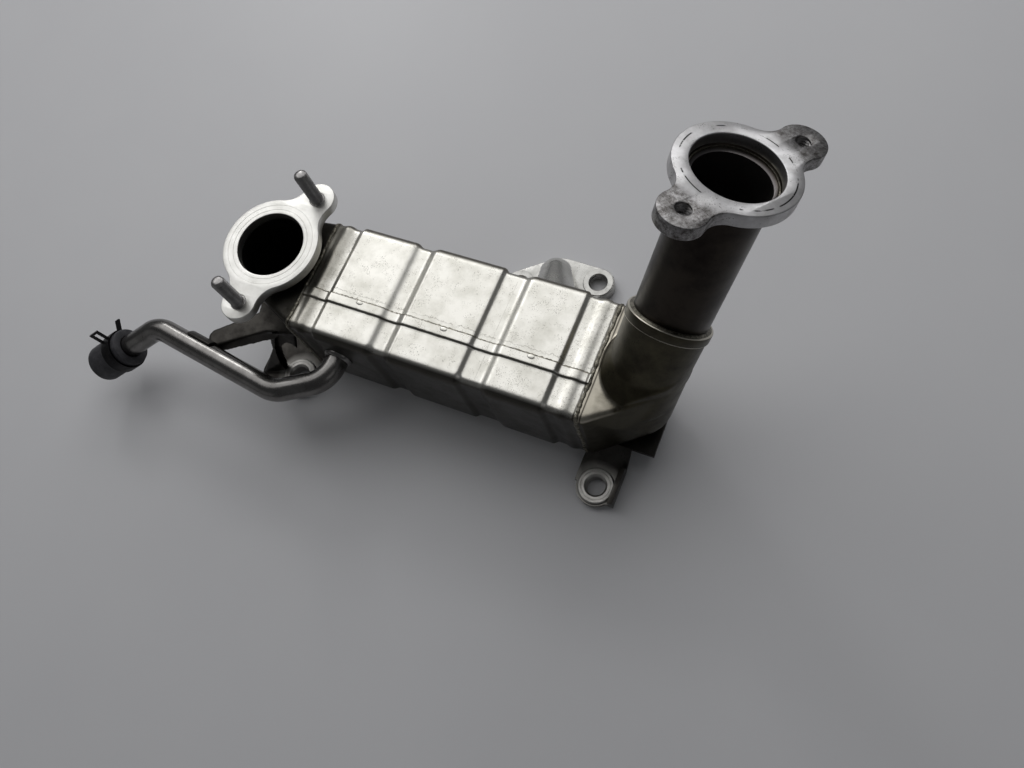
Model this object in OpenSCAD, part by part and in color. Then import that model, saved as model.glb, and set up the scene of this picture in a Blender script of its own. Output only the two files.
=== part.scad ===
// Exhaust gas recirculation cooler of a diesel engine.
// A brazed stainless casing holds six flat gas tubes between two header plates. Gas enters by the tall
// pipe and elbow at the right and leaves through the studded flange at the left. Coolant enters by the bent
// tube at the front and leaves through the pressed cover and flange at the back.
// X runs along the casing towards the gas inlet, Y runs to the back and Z is up. The origin is the centre of
// the coolant port on the mounting plane.

/* [Casing] */
// Length between the two weld edges
casing_len = 177; // [168:1:190]
// Width over the raised panels
casing_w = 74; // [70:1:78]
// Height over the raised panels
casing_h = 60; // [56:1:66]
// Height of the underside above the mounting plane
casing_clear = 12; // [11:0.5:16]
// Distance from the coolant port to the left weld edge
casing_left = 119.5; // [114:0.5:124]
// Distance from the coolant port to the back panel
casing_back = 26.5; // [25:0.5:31]
// Thickness of the casing sheet
sheet_t = 1.2; // [0.8:0.1:1.6]
// Outer radius of the long edges
casing_edge_r = 6; // [5:0.5:8]
// Height of the raised panels above collars and grooves
panel_raise = 2; // [1:0.25:2.5]
// Run of the slope at each end of the panelled part
step_run = 4.5; // [3:0.5:6]
// Length of the flat collar at the outlet end
left_collar = 15; // [14:0.5:18]
// Length of the flat collar at the inlet end
right_collar = 15.5; // [14:0.5:18]
// Width of the stiffening bead on each collar
bead_w = 10; // [6:0.5:12]
// Height of the stiffening bead on each collar
bead_h = 1; // [0.5:0.1:1.5]

/* [Grooves] */
// Start of the first cross groove, from the left weld edge
groove_1_at = 51; // [46:0.5:54]
// Falling slope of the first groove
groove_1_fall = 7; // [5:0.5:8]
// Floor of the first groove
groove_1_floor = 3; // [2:0.5:5]
// Rising slope of the first groove
groove_1_rise = 8; // [6:0.5:9]
// Start of the second cross groove, from the left weld edge
groove_2_at = 107; // [102:0.5:110]
// Falling slope of the second groove
groove_2_fall = 5; // [4:0.5:7]
// Floor of the second groove
groove_2_floor = 8; // [5:0.5:9]
// Rising slope of the second groove
groove_2_rise = 9; // [7:0.5:10]

/* [Lap seam] */
// Distance of the seam's front edge from the front panel
lap_at = 23; // [20:0.5:28]
// Overlap of the two half shells
lap_w = 5; // [4:0.5:9]
// Brazing gap between parts that are brazed together
braze_gap = 0.05; // [0.02:0.01:0.1]

/* [Gas core] */
// Outer height of one flat gas tube
gas_tube_h = 6.4; // [5.6:0.2:6.8]
// Outer width of one flat gas tube
gas_tube_w = 60; // [54:1:62]
// Wall of a gas tube
gas_tube_t = 0.5; // [0.4:0.1:0.8]
// Distance between the middles of two gas tubes
gas_tube_pitch = 8.4; // [7.8:0.1:8.6]
// Thickness of the folded fin inside each gas tube
fin_t = 0.25; // [0.15:0.05:0.35]
// Length of one fold of the fin
fin_pitch = 5; // [4:0.25:6]
// Thickness of the header plates
header_t = 1.5; // [1:0.1:2]
// Distance from the weld edge to the outer face of a header plate
header_set = 2; // [1:0.25:4]

/* [Gas inlet] */
// Distance from the casing's end to the pipe's axis, at mid height
elbow_reach = 19.4; // [18:0.2:24]
// Offset of the pipe's axis from the casing's middle, to the back
elbow_shift = -2; // [-4:0.2:4]
// Lean of the pipe from upright
pipe_tilt = 23; // [18:0.5:27]
// Direction of the lean, from the X axis towards the back
pipe_azimuth = 57; // [45:1:70]
// Outer diameter of the pipe
pipe_d = 38; // [35:0.5:39]
// Wall of the pipe
pipe_t = 1.5; // [1:0.1:2]
// Wall of the pressed elbow
elbow_t = 1.8; // [1.4:0.1:2.2]
// Hollow blend between the elbow's flat top and its socket
elbow_blend = 6; // [3:0.5:7]
// Length of the elbow along its axis from mid height up to its lip
elbow_len = 67; // [60:0.5:72]
// Depth of the pipe in the elbow's socket
socket_depth = 20; // [16:1:24]
// Height of the lip on the socket
lip_h = 7; // [4:0.5:8]
// Slant of the lip against the pipe
lip_tilt = 29; // [0:1:31]
// Direction of that slant, from the pipe's lean
lip_turn = 35; // [0:1:60]
// Length from mid height to the face of the inlet flange
inlet_len = 161.3; // [150:0.5:175]

/* [Inlet flange] */
// Bore at the sealing face
inlet_bore_d = 40; // [39:0.5:41]
// Thickness of the flange
inlet_flange_t = 6.5; // [6:0.5:9]
// Radius of the round part
inlet_ring_r = 27.3; // [26:0.1:29]
// Radius of each ear
inlet_ear_r = 10.7; // [9:0.1:12]
// Blend between an ear and the round part
inlet_blend_r = 11; // [8:0.5:14]
// Distance between the bolt holes
inlet_bolt_span = 73; // [70:0.5:76]
// Offset of the bolt line from the bore's axis
inlet_bolt_shift = 4.3; // [0:0.1:5]
// Turn of the bolt line against the pipe's lean
inlet_bolt_turn = 6; // [0:0.5:10]
// Core diameter of the tapped bolt holes
inlet_hole_d = 6.8; // [5:0.1:8.5]

/* [Outlet flange] */
// Distance from the casing's end to the outlet's axis
outlet_reach = 26.8; // [25:0.2:32]
// Offset of the outlet's axis from the casing's middle, to the back
outlet_shift = 4.8; // [0:0.2:7]
// Height of the sealing face above the raised panels
outlet_rise = 10; // [9:0.5:16]
// Bore of the outlet
outlet_bore_d = 40.6; // [36:0.2:42]
// Thickness of the flange
outlet_flange_t = 6; // [5:0.5:8]
// Radius of the round part
outlet_ring_r = 29.6; // [28:0.2:31]
// Radius of each ear
outlet_ear_r = 10.6; // [9:0.1:12]
// Blend between an ear and the round part
outlet_blend_r = 14; // [10:0.5:18]
// Distance between the studs
outlet_stud_span = 75.7; // [72:0.1:80]
// Offset of the stud line from the bore's axis, towards the casing
outlet_stud_shift = 7.2; // [0:0.1:8]
// Slide of the stud pair along its line
outlet_stud_slide = 0.8; // [-3:0.1:3]
// Turn of the stud line from the Y axis
outlet_stud_turn = 10.9; // [0:0.1:15]
// Diameter of the studs
stud_d = 8; // [6:0.5:8]
// Diameter of the pressed root that holds a stud in the flange
stud_root_d = 9; // [8.6:0.1:10]
// Length of a stud above the flange
stud_out = 25.5; // [16:0.5:32]
// Wall of the pressed outlet bonnet
bonnet_t = 1.8; // [1.4:0.1:2.2]
// Outer diameter of the bonnet's round end
bonnet_d = 51; // [48:0.5:54]

/* [Coolant side] */
// Outer diameter of the coolant tube
tube_d = 14; // [12:0.5:15]
// Wall of the coolant tube
tube_t = 1.2; // [0.8:0.1:1.6]
// Distance from the left weld edge to the tube's hole in the front panel
tube_at = 27; // [24:0.5:32]
// Height of the tube above the casing's underside
tube_up = 36; // [30:0.5:40]
// Radius of the tube's bends at its middle
tube_bend_r = 18; // [16:0.5:20]
// Diameter of the bead that seats the tube on the front panel
tube_bead_d = 17.5; // [16.5:0.5:21]
// Outer diameter of the hose stub
hose_d = 24; // [22:0.5:26]
// Length of the hose stub
hose_len = 29; // [24:0.5:36]
// Inner diameter of the hose where it isn't stretched over the tube
hose_bore_d = 13; // [11:0.5:13.5]
// Length of tube that the hose grips
hose_grip = 20; // [16:0.5:21]
// Distance from the tube's last corner to the hose
hose_at = 30; // [26:0.5:34]
// Width of the spring clamp
clamp_w = 8; // [6:0.5:10]
// Thickness of the spring clamp
clamp_t = 1; // [0.6:0.1:1.4]
// Clearance of sliding fits on the coolant side
slip_fit = 0.1; // [0.05:0.05:0.3]
// Thickness of the coolant flange
coolant_flange_t = 7; // [6:0.5:9]
// Distance between the coolant flange's bolt holes
coolant_bolt_span = 49.3; // [46:0.1:54]
// Turn of the coolant flange about the port
coolant_turn = 18; // [0:1:25]
// Radius of the coolant flange around the port
coolant_ring_r = 18; // [16:0.5:20]
// Diameter of the coolant port
coolant_port_d = 15; // [12:0.5:17]
// Wall of the pressed coolant cover
cover_t = 1.5; // [1:0.1:2]

/* [Feet] */
// Outer diameter of the bolt bosses
boss_d = 21; // [20:0.5:23]
// Diameter of the bolt holes
boss_hole_d = 11; // [10.5:0.1:12]
// Height of the foot bushes
bush_h = 8; // [7:0.5:10]
// Countersink of the bolt hole in a foot bush
bush_sink = 1.2; // [0.6:0.1:1.6]
// Thickness of the bracket sheet
bracket_t = 3; // [2.5:0.5:4]
// Distance of the left foot from the left weld edge, to the left
left_foot_x = 15.5; // [12:0.5:18]
// Distance of the left foot from the front panel, to the front
left_foot_y = 8.5; // [7:0.5:12]
// Distance of the right foot from the right weld edge, to the right
right_foot_x = 10.4; // [8:0.2:13]
// Distance of the right foot from the front panel, to the front
right_foot_y = 12.8; // [11.5:0.1:15]

/* [Hidden] */
$fn = 64;
gas_tube_count = 6;
ramp_steps = 3;
edge_steps = 4;
bow_step = 6;
tube_sides = 32;
nudge = 0.01;

casing_x0 = -casing_left;
casing_x1 = casing_x0 + casing_len;
casing_y1 = -casing_back;
casing_y0 = casing_y1 - casing_w;
casing_yc = (casing_y0 + casing_y1) / 2;
casing_z0 = casing_clear;
casing_z1 = casing_z0 + casing_h;
casing_zc = (casing_z0 + casing_z1) / 2;
collar_w = casing_w - 2 * panel_raise;
collar_h = casing_h - 2 * panel_raise;
lap_y0 = casing_y0 + lap_at;
lap_y1 = lap_y0 + lap_w;
joggle = sheet_t + braze_gap;

// Plain helpers on vectors
function unit(v) = v / norm(v);
function polar(r, a) = [r * cos(a), r * sin(a)];
function arc(c, r, a0, a1, n) = [for (i = [0:n]) c + polar(r, a0 + (a1 - a0) * i / n)];

// Moves children so that their Z axis starts at p and points along d
module aimed(p, d) {
    translate(p)
        rotate([0, acos(unit(d).z), atan2(d.y, d.x)])
            children();
}

// A rounded rectangle about the origin
module rounded_rect(w, h, r) {
    square([w - 2 * r, h], center = true);
    square([w, h - 2 * r], center = true);
    for (x = [-1, 1], y = [-1, 1])
        translate([x * (w / 2 - r), y * (h / 2 - r)])
            circle(r);
}

// A slot with round ends, long in X
module slot(w, h) {
    square([w - h, h], center = true);
    for (x = [-1, 1])
        translate([x * (w - h) / 2, 0])
            circle(d = h);
}

// An arc about c that runs from angle a0 to a1, to the left for turn 1 and to the right for turn -1
function bow(c, r, a0, a1, turn) =
    let (sweep = turn * ((turn * (a1 - a0) % 360 + 360) % 360))
    arc(c, r, a0, a0 + sweep, max(2, ceil(abs(sweep) / bow_step)));
function bearing(from, to) = atan2(to.y - from.y, to.x - from.x);

// Outline of a bar with two round ends of different radius
function strap(c1, r1, c2, r2) =
    let (a = bearing(c1, c2), b = acos((r1 - r2) / norm(c2 - c1)))
    concat(bow(c1, r1, a + b, a - b, 1), bow(c2, r2, a - b, a + b, 1));

// Outline of a round plate with two bosses, joined by straight sides
function diamond(ring_r, p, boss_r) =
    let (a = bearing([0, 0], p), b = acos((ring_r - boss_r) / norm(p)))
    concat(bow(p, boss_r, a - b, a + b, 1), bow([0, 0], ring_r, a + b, a + 180 - b, 1),
           bow(-p, boss_r, a + 180 - b, a + 180 + b, 1), bow([0, 0], ring_r, a + 180 + b, a - b, 1));

// Outline of a round flange with ears, each blended to the round part by two hollow arcs
function eared(ring_r, ears, ear_r, blend_r) = [for (i = [0:len(ears) - 1])
    let (e = ears[i], next = ears[(i + 1) % len(ears)],
         b0 = blend_centre(ring_r, e, ear_r, blend_r, -1), b1 = blend_centre(ring_r, e, ear_r, blend_r, 1),
         b2 = blend_centre(ring_r, next, ear_r, blend_r, -1))
    each concat(bow(b0, blend_r, bearing(b0, [0, 0]), bearing(b0, e), -1),
                bow(e, ear_r, bearing(e, b0), bearing(e, b1), 1),
                bow(b1, blend_r, bearing(b1, e), bearing(b1, [0, 0]), -1),
                bow([0, 0], ring_r, bearing([0, 0], b1), bearing([0, 0], b2), 1))];
function blend_centre(ring_r, e, ear_r, blend_r, side) =
    let (a = ring_r + blend_r, b = ear_r + blend_r, c = norm(e),
         along = (a * a - b * b + c * c) / (2 * c), across = sqrt(a * a - along * along))
    unit(e) * along + side * across * [-unit(e).y, unit(e).x];

// A closed loft through rings of points, each ring clockwise when seen from the last one
module loft(rings) {
    n = len(rings);
    k = len(rings[0]);
    points = [for (ring = rings) each ring];
    sides = [for (i = [0:n - 2], j = [0:k - 1]) let (a = i * k + j, b = i * k + (j + 1) % k)
        each [[a, b + k, a + k], [a, b, b + k]]];
    first = [for (j = [0:k / 2 - 2]) each [[j, k - 2 - j, j + 1], [j, k - 1 - j, k - 2 - j]]];
    last = [for (t = first) [for (j = [2:-1:0]) (n - 1) * k + t[j]]];
    polyhedron(points, concat(first, sides, last), convexity = 6);
}

// Casing shape along its length: [distance from the left weld edge, drop below the panels]
function ramp(s0, s1, d0, d1) = [for (i = [0:ramp_steps]) let (t = i / ramp_steps)
    [s0 + (s1 - s0) * t, d0 + (d1 - d0) * (1 - cos(180 * t)) / 2]];
function bead(s) = [for (i = [0:2 * ramp_steps]) let (t = i / (2 * ramp_steps))
    [s + (t - 0.5) * bead_w, panel_raise - bead_h * (1 - cos(360 * t)) / 2]];
function groove(s, fall, floor_run, rise) = concat(
    ramp(s, s + fall, 0, panel_raise),
    ramp(s + fall + floor_run, s + fall + floor_run + rise, panel_raise, 0));
stations = concat(
    [[0, panel_raise]],
    bead(left_collar / 2),
    ramp(left_collar, left_collar + step_run, panel_raise, 0),
    groove(groove_1_at, groove_1_fall, groove_1_floor, groove_1_rise),
    groove(groove_2_at, groove_2_fall, groove_2_floor, groove_2_rise),
    ramp(casing_len - right_collar - step_run, casing_len - right_collar, 0, panel_raise),
    bead(casing_len - right_collar / 2),
    [[casing_len, panel_raise]]);

// Cross sections of the casing: inset is measured inwards from the panels' outer faces
function back_edge(inset) = let (r = casing_edge_r - min(inset, casing_edge_r - 1)) concat(
    arc([casing_y1 - inset - r, casing_z1 - inset - r], r, 90, 0, edge_steps),
    arc([casing_y1 - inset - r, casing_z0 + inset + r], r, 0, -90, edge_steps));
function front_edge(inset) = let (r = casing_edge_r - min(inset, casing_edge_r - 1)) concat(
    arc([casing_y0 + inset + r, casing_z1 - inset - r], r, 90, 180, edge_steps),
    arc([casing_y0 + inset + r, casing_z0 + inset + r], r, 180, 270, edge_steps));
function rear_path(inset) = concat(
    [[lap_y0 + joggle, casing_z1 - inset]],
    back_edge(inset),
    [[lap_y0 + joggle, casing_z0 + inset]]);
function front_path(inset) = concat(
    [[lap_y1, casing_z1 - inset + joggle], [lap_y0, casing_z1 - inset + joggle],
     [lap_y0 - joggle, casing_z1 - inset]],
    front_edge(inset),
    [[lap_y0 - joggle, casing_z0 + inset], [lap_y0, casing_z0 + inset - joggle],
     [lap_y1, casing_z0 + inset - joggle]]);
function reversed(list) = [for (i = [len(list) - 1:-1:0]) list[i]];
function whole_section(inset) = concat(back_edge(inset), reversed(front_edge(inset)));
function rear_section(inset) = concat(rear_path(inset), reversed(rear_path(inset + sheet_t)));
function front_section(inset) = concat(reversed(front_path(inset)), front_path(inset + sheet_t));
function at_station(s, section) = [for (p = section) [casing_x0 + s[0], p.x, p.y]];
module casing_envelope() {
    loft([for (s = stations) at_station(s, whole_section(s[1]))]);
}

module casing_rear_half() {
    color("#c9c8c2")
        difference() {
            loft([for (s = stations) at_station(s, rear_section(s[1]))]);
            cover_mouth_cut();
        }
}

module casing_front_half() {
    color("#d2d1cb")
        difference() {
            loft([for (s = stations) at_station(s, front_section(s[1]))]);
            aimed(tube_path[0], tube_path[1] - tube_path[0])
                cylinder(h = 6 * sheet_t, d = tube_d + 2 * braze_gap, center = true);
        }
}

// Header plates and the flat tubes between them
header_w = collar_w - 2 * (sheet_t + braze_gap);
header_h = collar_h - 2 * (sheet_t + braze_gap);
header_r = max(1, casing_edge_r - panel_raise - sheet_t);
core_x0 = casing_x0 + header_set;
core_x1 = casing_x1 - header_set;
function gas_tube_z(i) = casing_zc + (i - (gas_tube_count + 1) / 2) * gas_tube_pitch;

// Turns a flat shape drawn in X and Y to stand across the casing, and gives it a run along X
module across(x, run) {
    translate([x, casing_yc, 0])
        rotate([90, 0, 90])
            linear_extrude(run)
                children();
}

module header_plate(x) {
    color("#8f8a80")
        across(x, header_t)
            difference() {
                translate([0, casing_zc])
                    rounded_rect(header_w, header_h, header_r);
                for (i = [1:gas_tube_count])
                    translate([0, gas_tube_z(i)])
                        slot(gas_tube_w + 2 * braze_gap, gas_tube_h + 2 * braze_gap);
            }
}

module gas_tube(i) {
    color("#9a958a")
        across(core_x0, core_x1 - core_x0)
            translate([0, gas_tube_z(i)])
                difference() {
                    slot(gas_tube_w, gas_tube_h);
                    slot(gas_tube_w - 2 * gas_tube_t, gas_tube_h - 2 * gas_tube_t);
                }
}

// The fin is one strip folded up and down between the broad walls of its tube
fin_top = gas_tube_h / 2 - gas_tube_t - braze_gap;
fin_folds = floor((gas_tube_w - gas_tube_h) / fin_pitch);
function fold_line(lift) = [for (i = [0:2 * fin_folds])
    let (y = (i / 2 - fin_folds / 2) * fin_pitch, up = i % 2 == 0 ? -1 : 1)
    each [[y - fin_pitch / 8, up * (fin_top - fin_t / 2) + lift],
          [y + fin_pitch / 8, up * (fin_top - fin_t / 2) + lift]]];
module gas_fin(i) {
    color("#7d7a72")
        across(core_x0 + header_t, core_x1 - core_x0 - 2 * header_t)
            translate([0, gas_tube_z(i)])
                polygon(concat(fold_line(-fin_t / 2), reversed(fold_line(fin_t / 2))));
}

// The elbow: a rectangular mouth on the casing's end with a flat top, drawn into a round socket that leans
// with the pipe
elbow_foot = [casing_x1 + elbow_reach, casing_yc + elbow_shift, casing_zc];
elbow_top = casing_z1 - panel_raise;
elbow_r = pipe_d / 2 + slip_fit + elbow_t;
elbow_drop = casing_zc - casing_z0 - panel_raise - elbow_r;
pipe_axis = [sin(pipe_tilt) * cos(pipe_azimuth), sin(pipe_tilt) * sin(pipe_azimuth), cos(pipe_tilt)];
mouth_in = 2;
mouth_run = 3;
neck_up = 12;
socket_r = elbow_r + 0.2;
lip_out = 0.8;
blend_steps = 5;
blend_set = 0.5;

module on_pipe(t = 0) {
    aimed(elbow_foot + pipe_axis * t, pipe_axis)
        children();
}

// A thin block of the collar's outline, which starts a hull at the casing's end
module mouth_block(x, run, shrink) {
    across(x, run)
        translate([0, casing_zc])
            rounded_rect(collar_w - 2 * shrink, collar_h - 2 * shrink,
                         max(1, casing_edge_r - panel_raise - shrink));
}

// A level cut through the leaning socket at height z, with the socket's radius grown to r
function level_ring(z, r) =
    let (c = elbow_foot + pipe_axis * (z - casing_zc) / pipe_axis.z,
         along = [cos(pipe_azimuth), sin(pipe_azimuth), 0], beside = [-along.y, along.x, 0])
    [for (i = [0:tube_sides - 1]) let (a = -360 * (i + 0.5) / tube_sides)
        c + along * r * cos(a) / pipe_axis.z + beside * r * sin(a)];

module elbow_body(shrink) {
    hull() {
        mouth_block(casing_x1 - mouth_in, mouth_run, shrink, $fn = 32);
        loft([for (down = [1, 0]) level_ring(elbow_top - shrink - down, elbow_r - shrink)]);
        translate(elbow_foot - [0, 0, elbow_drop])
            sphere(elbow_r - shrink, $fn = 32);
    }
}

// The blend stays inside the elbow's outline, as seen from above, and ends inside the socket
module socket_blend() {
    flat_w = collar_w - 2 * (casing_edge_r - panel_raise + blend_set);
    intersection() {
        loft(concat([level_ring(elbow_top - 1, elbow_r + elbow_blend)],
                    [for (i = [0:blend_steps - 1]) let (a = 90 * i / blend_steps)
                        level_ring(elbow_top + elbow_blend * (1 - cos(a)),
                                   elbow_r + elbow_blend * (1 - sin(a)))],
                    [level_ring(elbow_top + elbow_blend, elbow_r - 2)]));
        hull() {
            translate([casing_x1 - mouth_in, casing_yc - flat_w / 2, elbow_top - 2])
                cube([mouth_run, flat_w, elbow_blend]);
            loft([for (z = [elbow_top - 2, elbow_top + elbow_blend + 1]) level_ring(z, elbow_r - blend_set)]);
        }
    }
}

// A round bar along the pipe, cut off on the slant of the lip
module socket(r, from, to) {
    difference() {
        on_pipe(from)
            cylinder(h = to - from + 2 * r, r = r);
        on_pipe(to)
            rotate([0, lip_tilt, lip_turn])
                cylinder(h = 4 * r, r = 4 * r);
    }
}

module inlet_elbow() {
    color("#5d584a")
        difference() {
            union() {
                elbow_body(0);
                socket_blend();
                socket(socket_r, neck_up - 1, elbow_len - lip_out);
                intersection() {
                    socket(socket_r + lip_out, neck_up, elbow_len);
                    on_pipe(elbow_len - lip_h)
                        rotate([0, lip_tilt, lip_turn])
                            cylinder(h = 2 * elbow_len, r = 3 * socket_r);
                }
            }
            elbow_body(elbow_t);
            on_pipe()
                rotate([0, 0, 90])
                    cylinder(h = elbow_len - socket_depth + nudge, r = pipe_d / 2 - pipe_t);
            on_pipe(elbow_len - socket_depth)
                cylinder(h = socket_depth + 2 * socket_r, r = pipe_d / 2 + slip_fit);
            translate([casing_x1 - casing_w, casing_y0, casing_z0])
                cube([casing_w, casing_w, casing_h]);
        }
}

module inlet_pipe() {
    color("#4f4c44")
        on_pipe(elbow_len - socket_depth)
            difference() {
                cylinder(h = pipe_end - elbow_len + socket_depth, d = pipe_d);
                translate([0, 0, -1])
                    cylinder(h = pipe_end - elbow_len + socket_depth + 2, d = pipe_d - 2 * pipe_t);
            }
}
pipe_root = 1.5;
inlet_bore_depth = inlet_flange_t + pipe_root;
pipe_end = inlet_len - inlet_bore_depth;

// Bolt holes of the inlet flange, in the plane across the pipe
inlet_line = polar(1, inlet_bolt_turn);
inlet_mid = inlet_bolt_shift * [inlet_line.y, -inlet_line.x];
inlet_holes = [for (side = [-1, 1]) inlet_mid + side * inlet_line * inlet_bolt_span / 2];
inlet_weld = 4;
inlet_weld_r = [pipe_d / 2 + 0.8, inlet_bore_d / 2 + 3];

module inlet_flange() {
    color("#b9b8b2")
        on_pipe(inlet_len - inlet_flange_t)
            difference() {
                union() {
                    linear_extrude(inlet_flange_t)
                        polygon(eared(inlet_ring_r, inlet_holes, inlet_ear_r, inlet_blend_r));
                    translate([0, 0, -inlet_weld])
                        cylinder(h = inlet_weld + 1, r1 = inlet_weld_r[0], r2 = inlet_weld_r[1]);
                }
                translate([0, 0, inlet_flange_t - inlet_bore_depth])
                    cylinder(h = inlet_bore_depth + 1, d = inlet_bore_d);
                translate([0, 0, -inlet_weld - 1])
                    cylinder(h = inlet_weld + inlet_flange_t, d = pipe_d + 2 * braze_gap);
                for (p = inlet_holes)
                    translate([p.x, p.y, -1])
                        cylinder(h = inlet_flange_t + 2, d = inlet_hole_d);
            }
}

// The outlet bonnet: the casing's end turned up to the outlet flange
outlet_axis = [casing_x0 - outlet_reach, casing_yc + outlet_shift];
outlet_z = casing_z1 + outlet_rise;
bonnet_top = casing_z1 - panel_raise;
bonnet_floor = casing_z0 + panel_raise;
bonnet_floor_r = 12;
neck_r = outlet_bore_d / 2 + bonnet_t;

module bonnet_body(shrink, mouth_x) {
    hull() {
        mouth_block(mouth_x, 1, shrink, $fn = 32);
        translate([outlet_axis.x, outlet_axis.y, bonnet_floor + bonnet_floor_r])
            cylinder(h = bonnet_top - shrink - bonnet_floor - bonnet_floor_r, d = bonnet_d - 2 * shrink,
                     $fn = 48);
        translate([outlet_axis.x, outlet_axis.y, bonnet_floor + shrink])
            cylinder(h = 1, d = bonnet_d - 2 * bonnet_floor_r, $fn = 48);
    }
}

module outlet_bonnet() {
    color("#6d6a5f")
        difference() {
            union() {
                bonnet_body(0, casing_x0 - 1);
                translate([outlet_axis.x, outlet_axis.y, bonnet_top - 1])
                    cylinder(h = outlet_z - outlet_flange_t - bonnet_top + 1, r = neck_r);
            }
            bonnet_body(bonnet_t, casing_x0 - nudge);
            translate([outlet_axis.x, outlet_axis.y, bonnet_top - 2 * bonnet_t])
                cylinder(h = outlet_z - bonnet_top, d = outlet_bore_d);
        }
}

// The studs stand on a line that passes beside the bore
stud_line = polar(1, 90 - outlet_stud_turn);
stud_mid = outlet_stud_shift * [stud_line.y, -stud_line.x] - outlet_stud_slide * stud_line;
stud_top = outlet_flange_t + stud_out;
stud_point = 1.1;
stud_places = [for (side = [-1, 1]) stud_mid + side * stud_line * outlet_stud_span / 2];

module outlet_flange() {
    color("#d8d7d3")
        translate([outlet_axis.x, outlet_axis.y, outlet_z - outlet_flange_t])
            difference() {
                linear_extrude(outlet_flange_t)
                    polygon(eared(outlet_ring_r, stud_places, outlet_ear_r, outlet_blend_r));
                translate([0, 0, -1])
                    cylinder(h = outlet_flange_t + 2, d = outlet_bore_d);
                for (p = stud_places)
                    translate([p.x, p.y, -1])
                        cylinder(h = outlet_flange_t + 2, d = stud_root_d + 2 * braze_gap);
            }
}

module outlet_stud(which) {
    p = outlet_axis + stud_places[which];
    color("#4a4a4c")
        translate([p.x, p.y, outlet_z - outlet_flange_t])
            rotate_extrude()
                polygon([[0, 0], [stud_root_d / 2, 0], [stud_root_d / 2, outlet_flange_t],
                         [stud_d / 2, outlet_flange_t], [stud_d / 2, stud_top - stud_point],
                         [stud_d / 2 - stud_point, stud_top], [0, stud_top]]);
}

// Coolant flange on the mounting plane, and the pressed cover that leads from its port into the casing
coolant_bolts = [for (side = [-1, 1]) polar(side * coolant_bolt_span / 2, coolant_turn)];
coolant_boss_d = boss_d - 1;
boss_raise = 0.8;
boss_set = 0.3;

module coolant_flange() {
    color("#c3c2bd")
        difference() {
            union() {
                linear_extrude(coolant_flange_t)
                    polygon(diamond(coolant_ring_r, coolant_bolts[1], coolant_boss_d / 2));
                for (p = coolant_bolts)
                    translate([p.x, p.y, coolant_flange_t - 1])
                        cylinder(h = boss_raise + 1, d = coolant_boss_d - 2 * boss_set);
            }
            translate([0, 0, -1])
                cylinder(h = coolant_flange_t + 2, d = coolant_port_d);
            for (p = coolant_bolts)
                translate([p.x, p.y, -1])
                    cylinder(h = coolant_flange_t + boss_raise + 2, d = boss_hole_d);
        }
}

cover_r = 10.5;
cover_knee = 18;
cover_mouth_at = [12, 30.5];
cover_mouth_size = [34, 25];
cover_mouth_r = 8;
cover_cut_r = 5;
cover_sink = panel_raise + 1;

module cover_body(shrink, sink) {
    hull() {
        translate([0, 0, coolant_flange_t + shrink])
            cylinder(h = cover_knee - coolant_flange_t - shrink, r = cover_r - shrink, $fn = 32);
        translate([0, 0, cover_knee])
            sphere(cover_r - shrink, $fn = 32);
        translate([cover_mouth_at.x, casing_y1 - sink, cover_mouth_at.y])
            rotate([-90, 0, 0])
                linear_extrude(sink + 2)
                    rounded_rect(cover_mouth_size.x - 2 * shrink, cover_mouth_size.y - 2 * shrink,
                                 cover_mouth_r - shrink, $fn = 32);
    }
}

module coolant_cover() {
    color("#a9a79f")
        difference() {
            cover_body(0, cover_sink);
            cover_body(cover_t, cover_sink + 1);
            translate([0, 0, coolant_flange_t - 1])
                cylinder(h = cover_knee - coolant_flange_t, d = coolant_port_d);
            casing_envelope();
        }
}

// Opening in the back panel behind the cover
module cover_mouth_cut() {
    translate([cover_mouth_at.x, casing_y1 + 1, cover_mouth_at.y])
        rotate([90, 0, 0])
            linear_extrude(cover_sink + sheet_t + 3)
                rounded_rect(cover_mouth_size.x - 4 * cover_t, cover_mouth_size.y - 4 * cover_t, cover_cut_r);
}

// Coolant tube: corners of its middle line, from the front panel down to the hose
tube_last = unit([-0.76, -0.49, -0.43]);
tube_z = casing_z0 + tube_up;
tube_x = casing_x0 + tube_at;
tube_in = 2;
tube_out = 16;
tube_knee = [-28, -16.3];
tube_run = [-93.7, 13.2];
tube_bead_h = 2.5;
tube_bead_slope = 1;
tube_panel = [tube_x, casing_y0, tube_z];
tube_turn_1 = tube_panel - [0, tube_out, 0];
tube_turn_2 = tube_turn_1 + [tube_knee.x, tube_knee.y, 0];
tube_turn_3 = tube_turn_2 + [tube_run.x, tube_run.y, 0];
tube_path = [tube_panel + [0, tube_in, 0], tube_turn_1, tube_turn_2, tube_turn_3,
             tube_turn_3 + tube_last * (hose_at + hose_grip)];

// The middle line with its bends as arcs: [point, direction]
function tube_line(path, bend_r) = let (n = len(path)) concat(
    [[path[0], unit(path[1] - path[0])]],
    [for (i = [1:n - 2]) each tube_bend(path, i, bend_r)],
    [[path[n - 1], unit(path[n - 1] - path[n - 2])]]);
function tube_bend(path, i, bend_r) =
    let (d1 = unit(path[i] - path[i - 1]), d2 = unit(path[i + 1] - path[i]),
         inward = unit(d2 - d1 * (d1 * d2)),
         sweep = bend_angle(path, i), steps = ceil(sweep / bow_step),
         start = path[i] - d1 * bend_cut(path, i, bend_r))
    [for (k = [0:steps]) let (a = sweep * k / steps)
        [start + bend_r * (d1 * sin(a) + inward * (1 - cos(a))), d1 * cos(a) + inward * sin(a)]];

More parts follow.
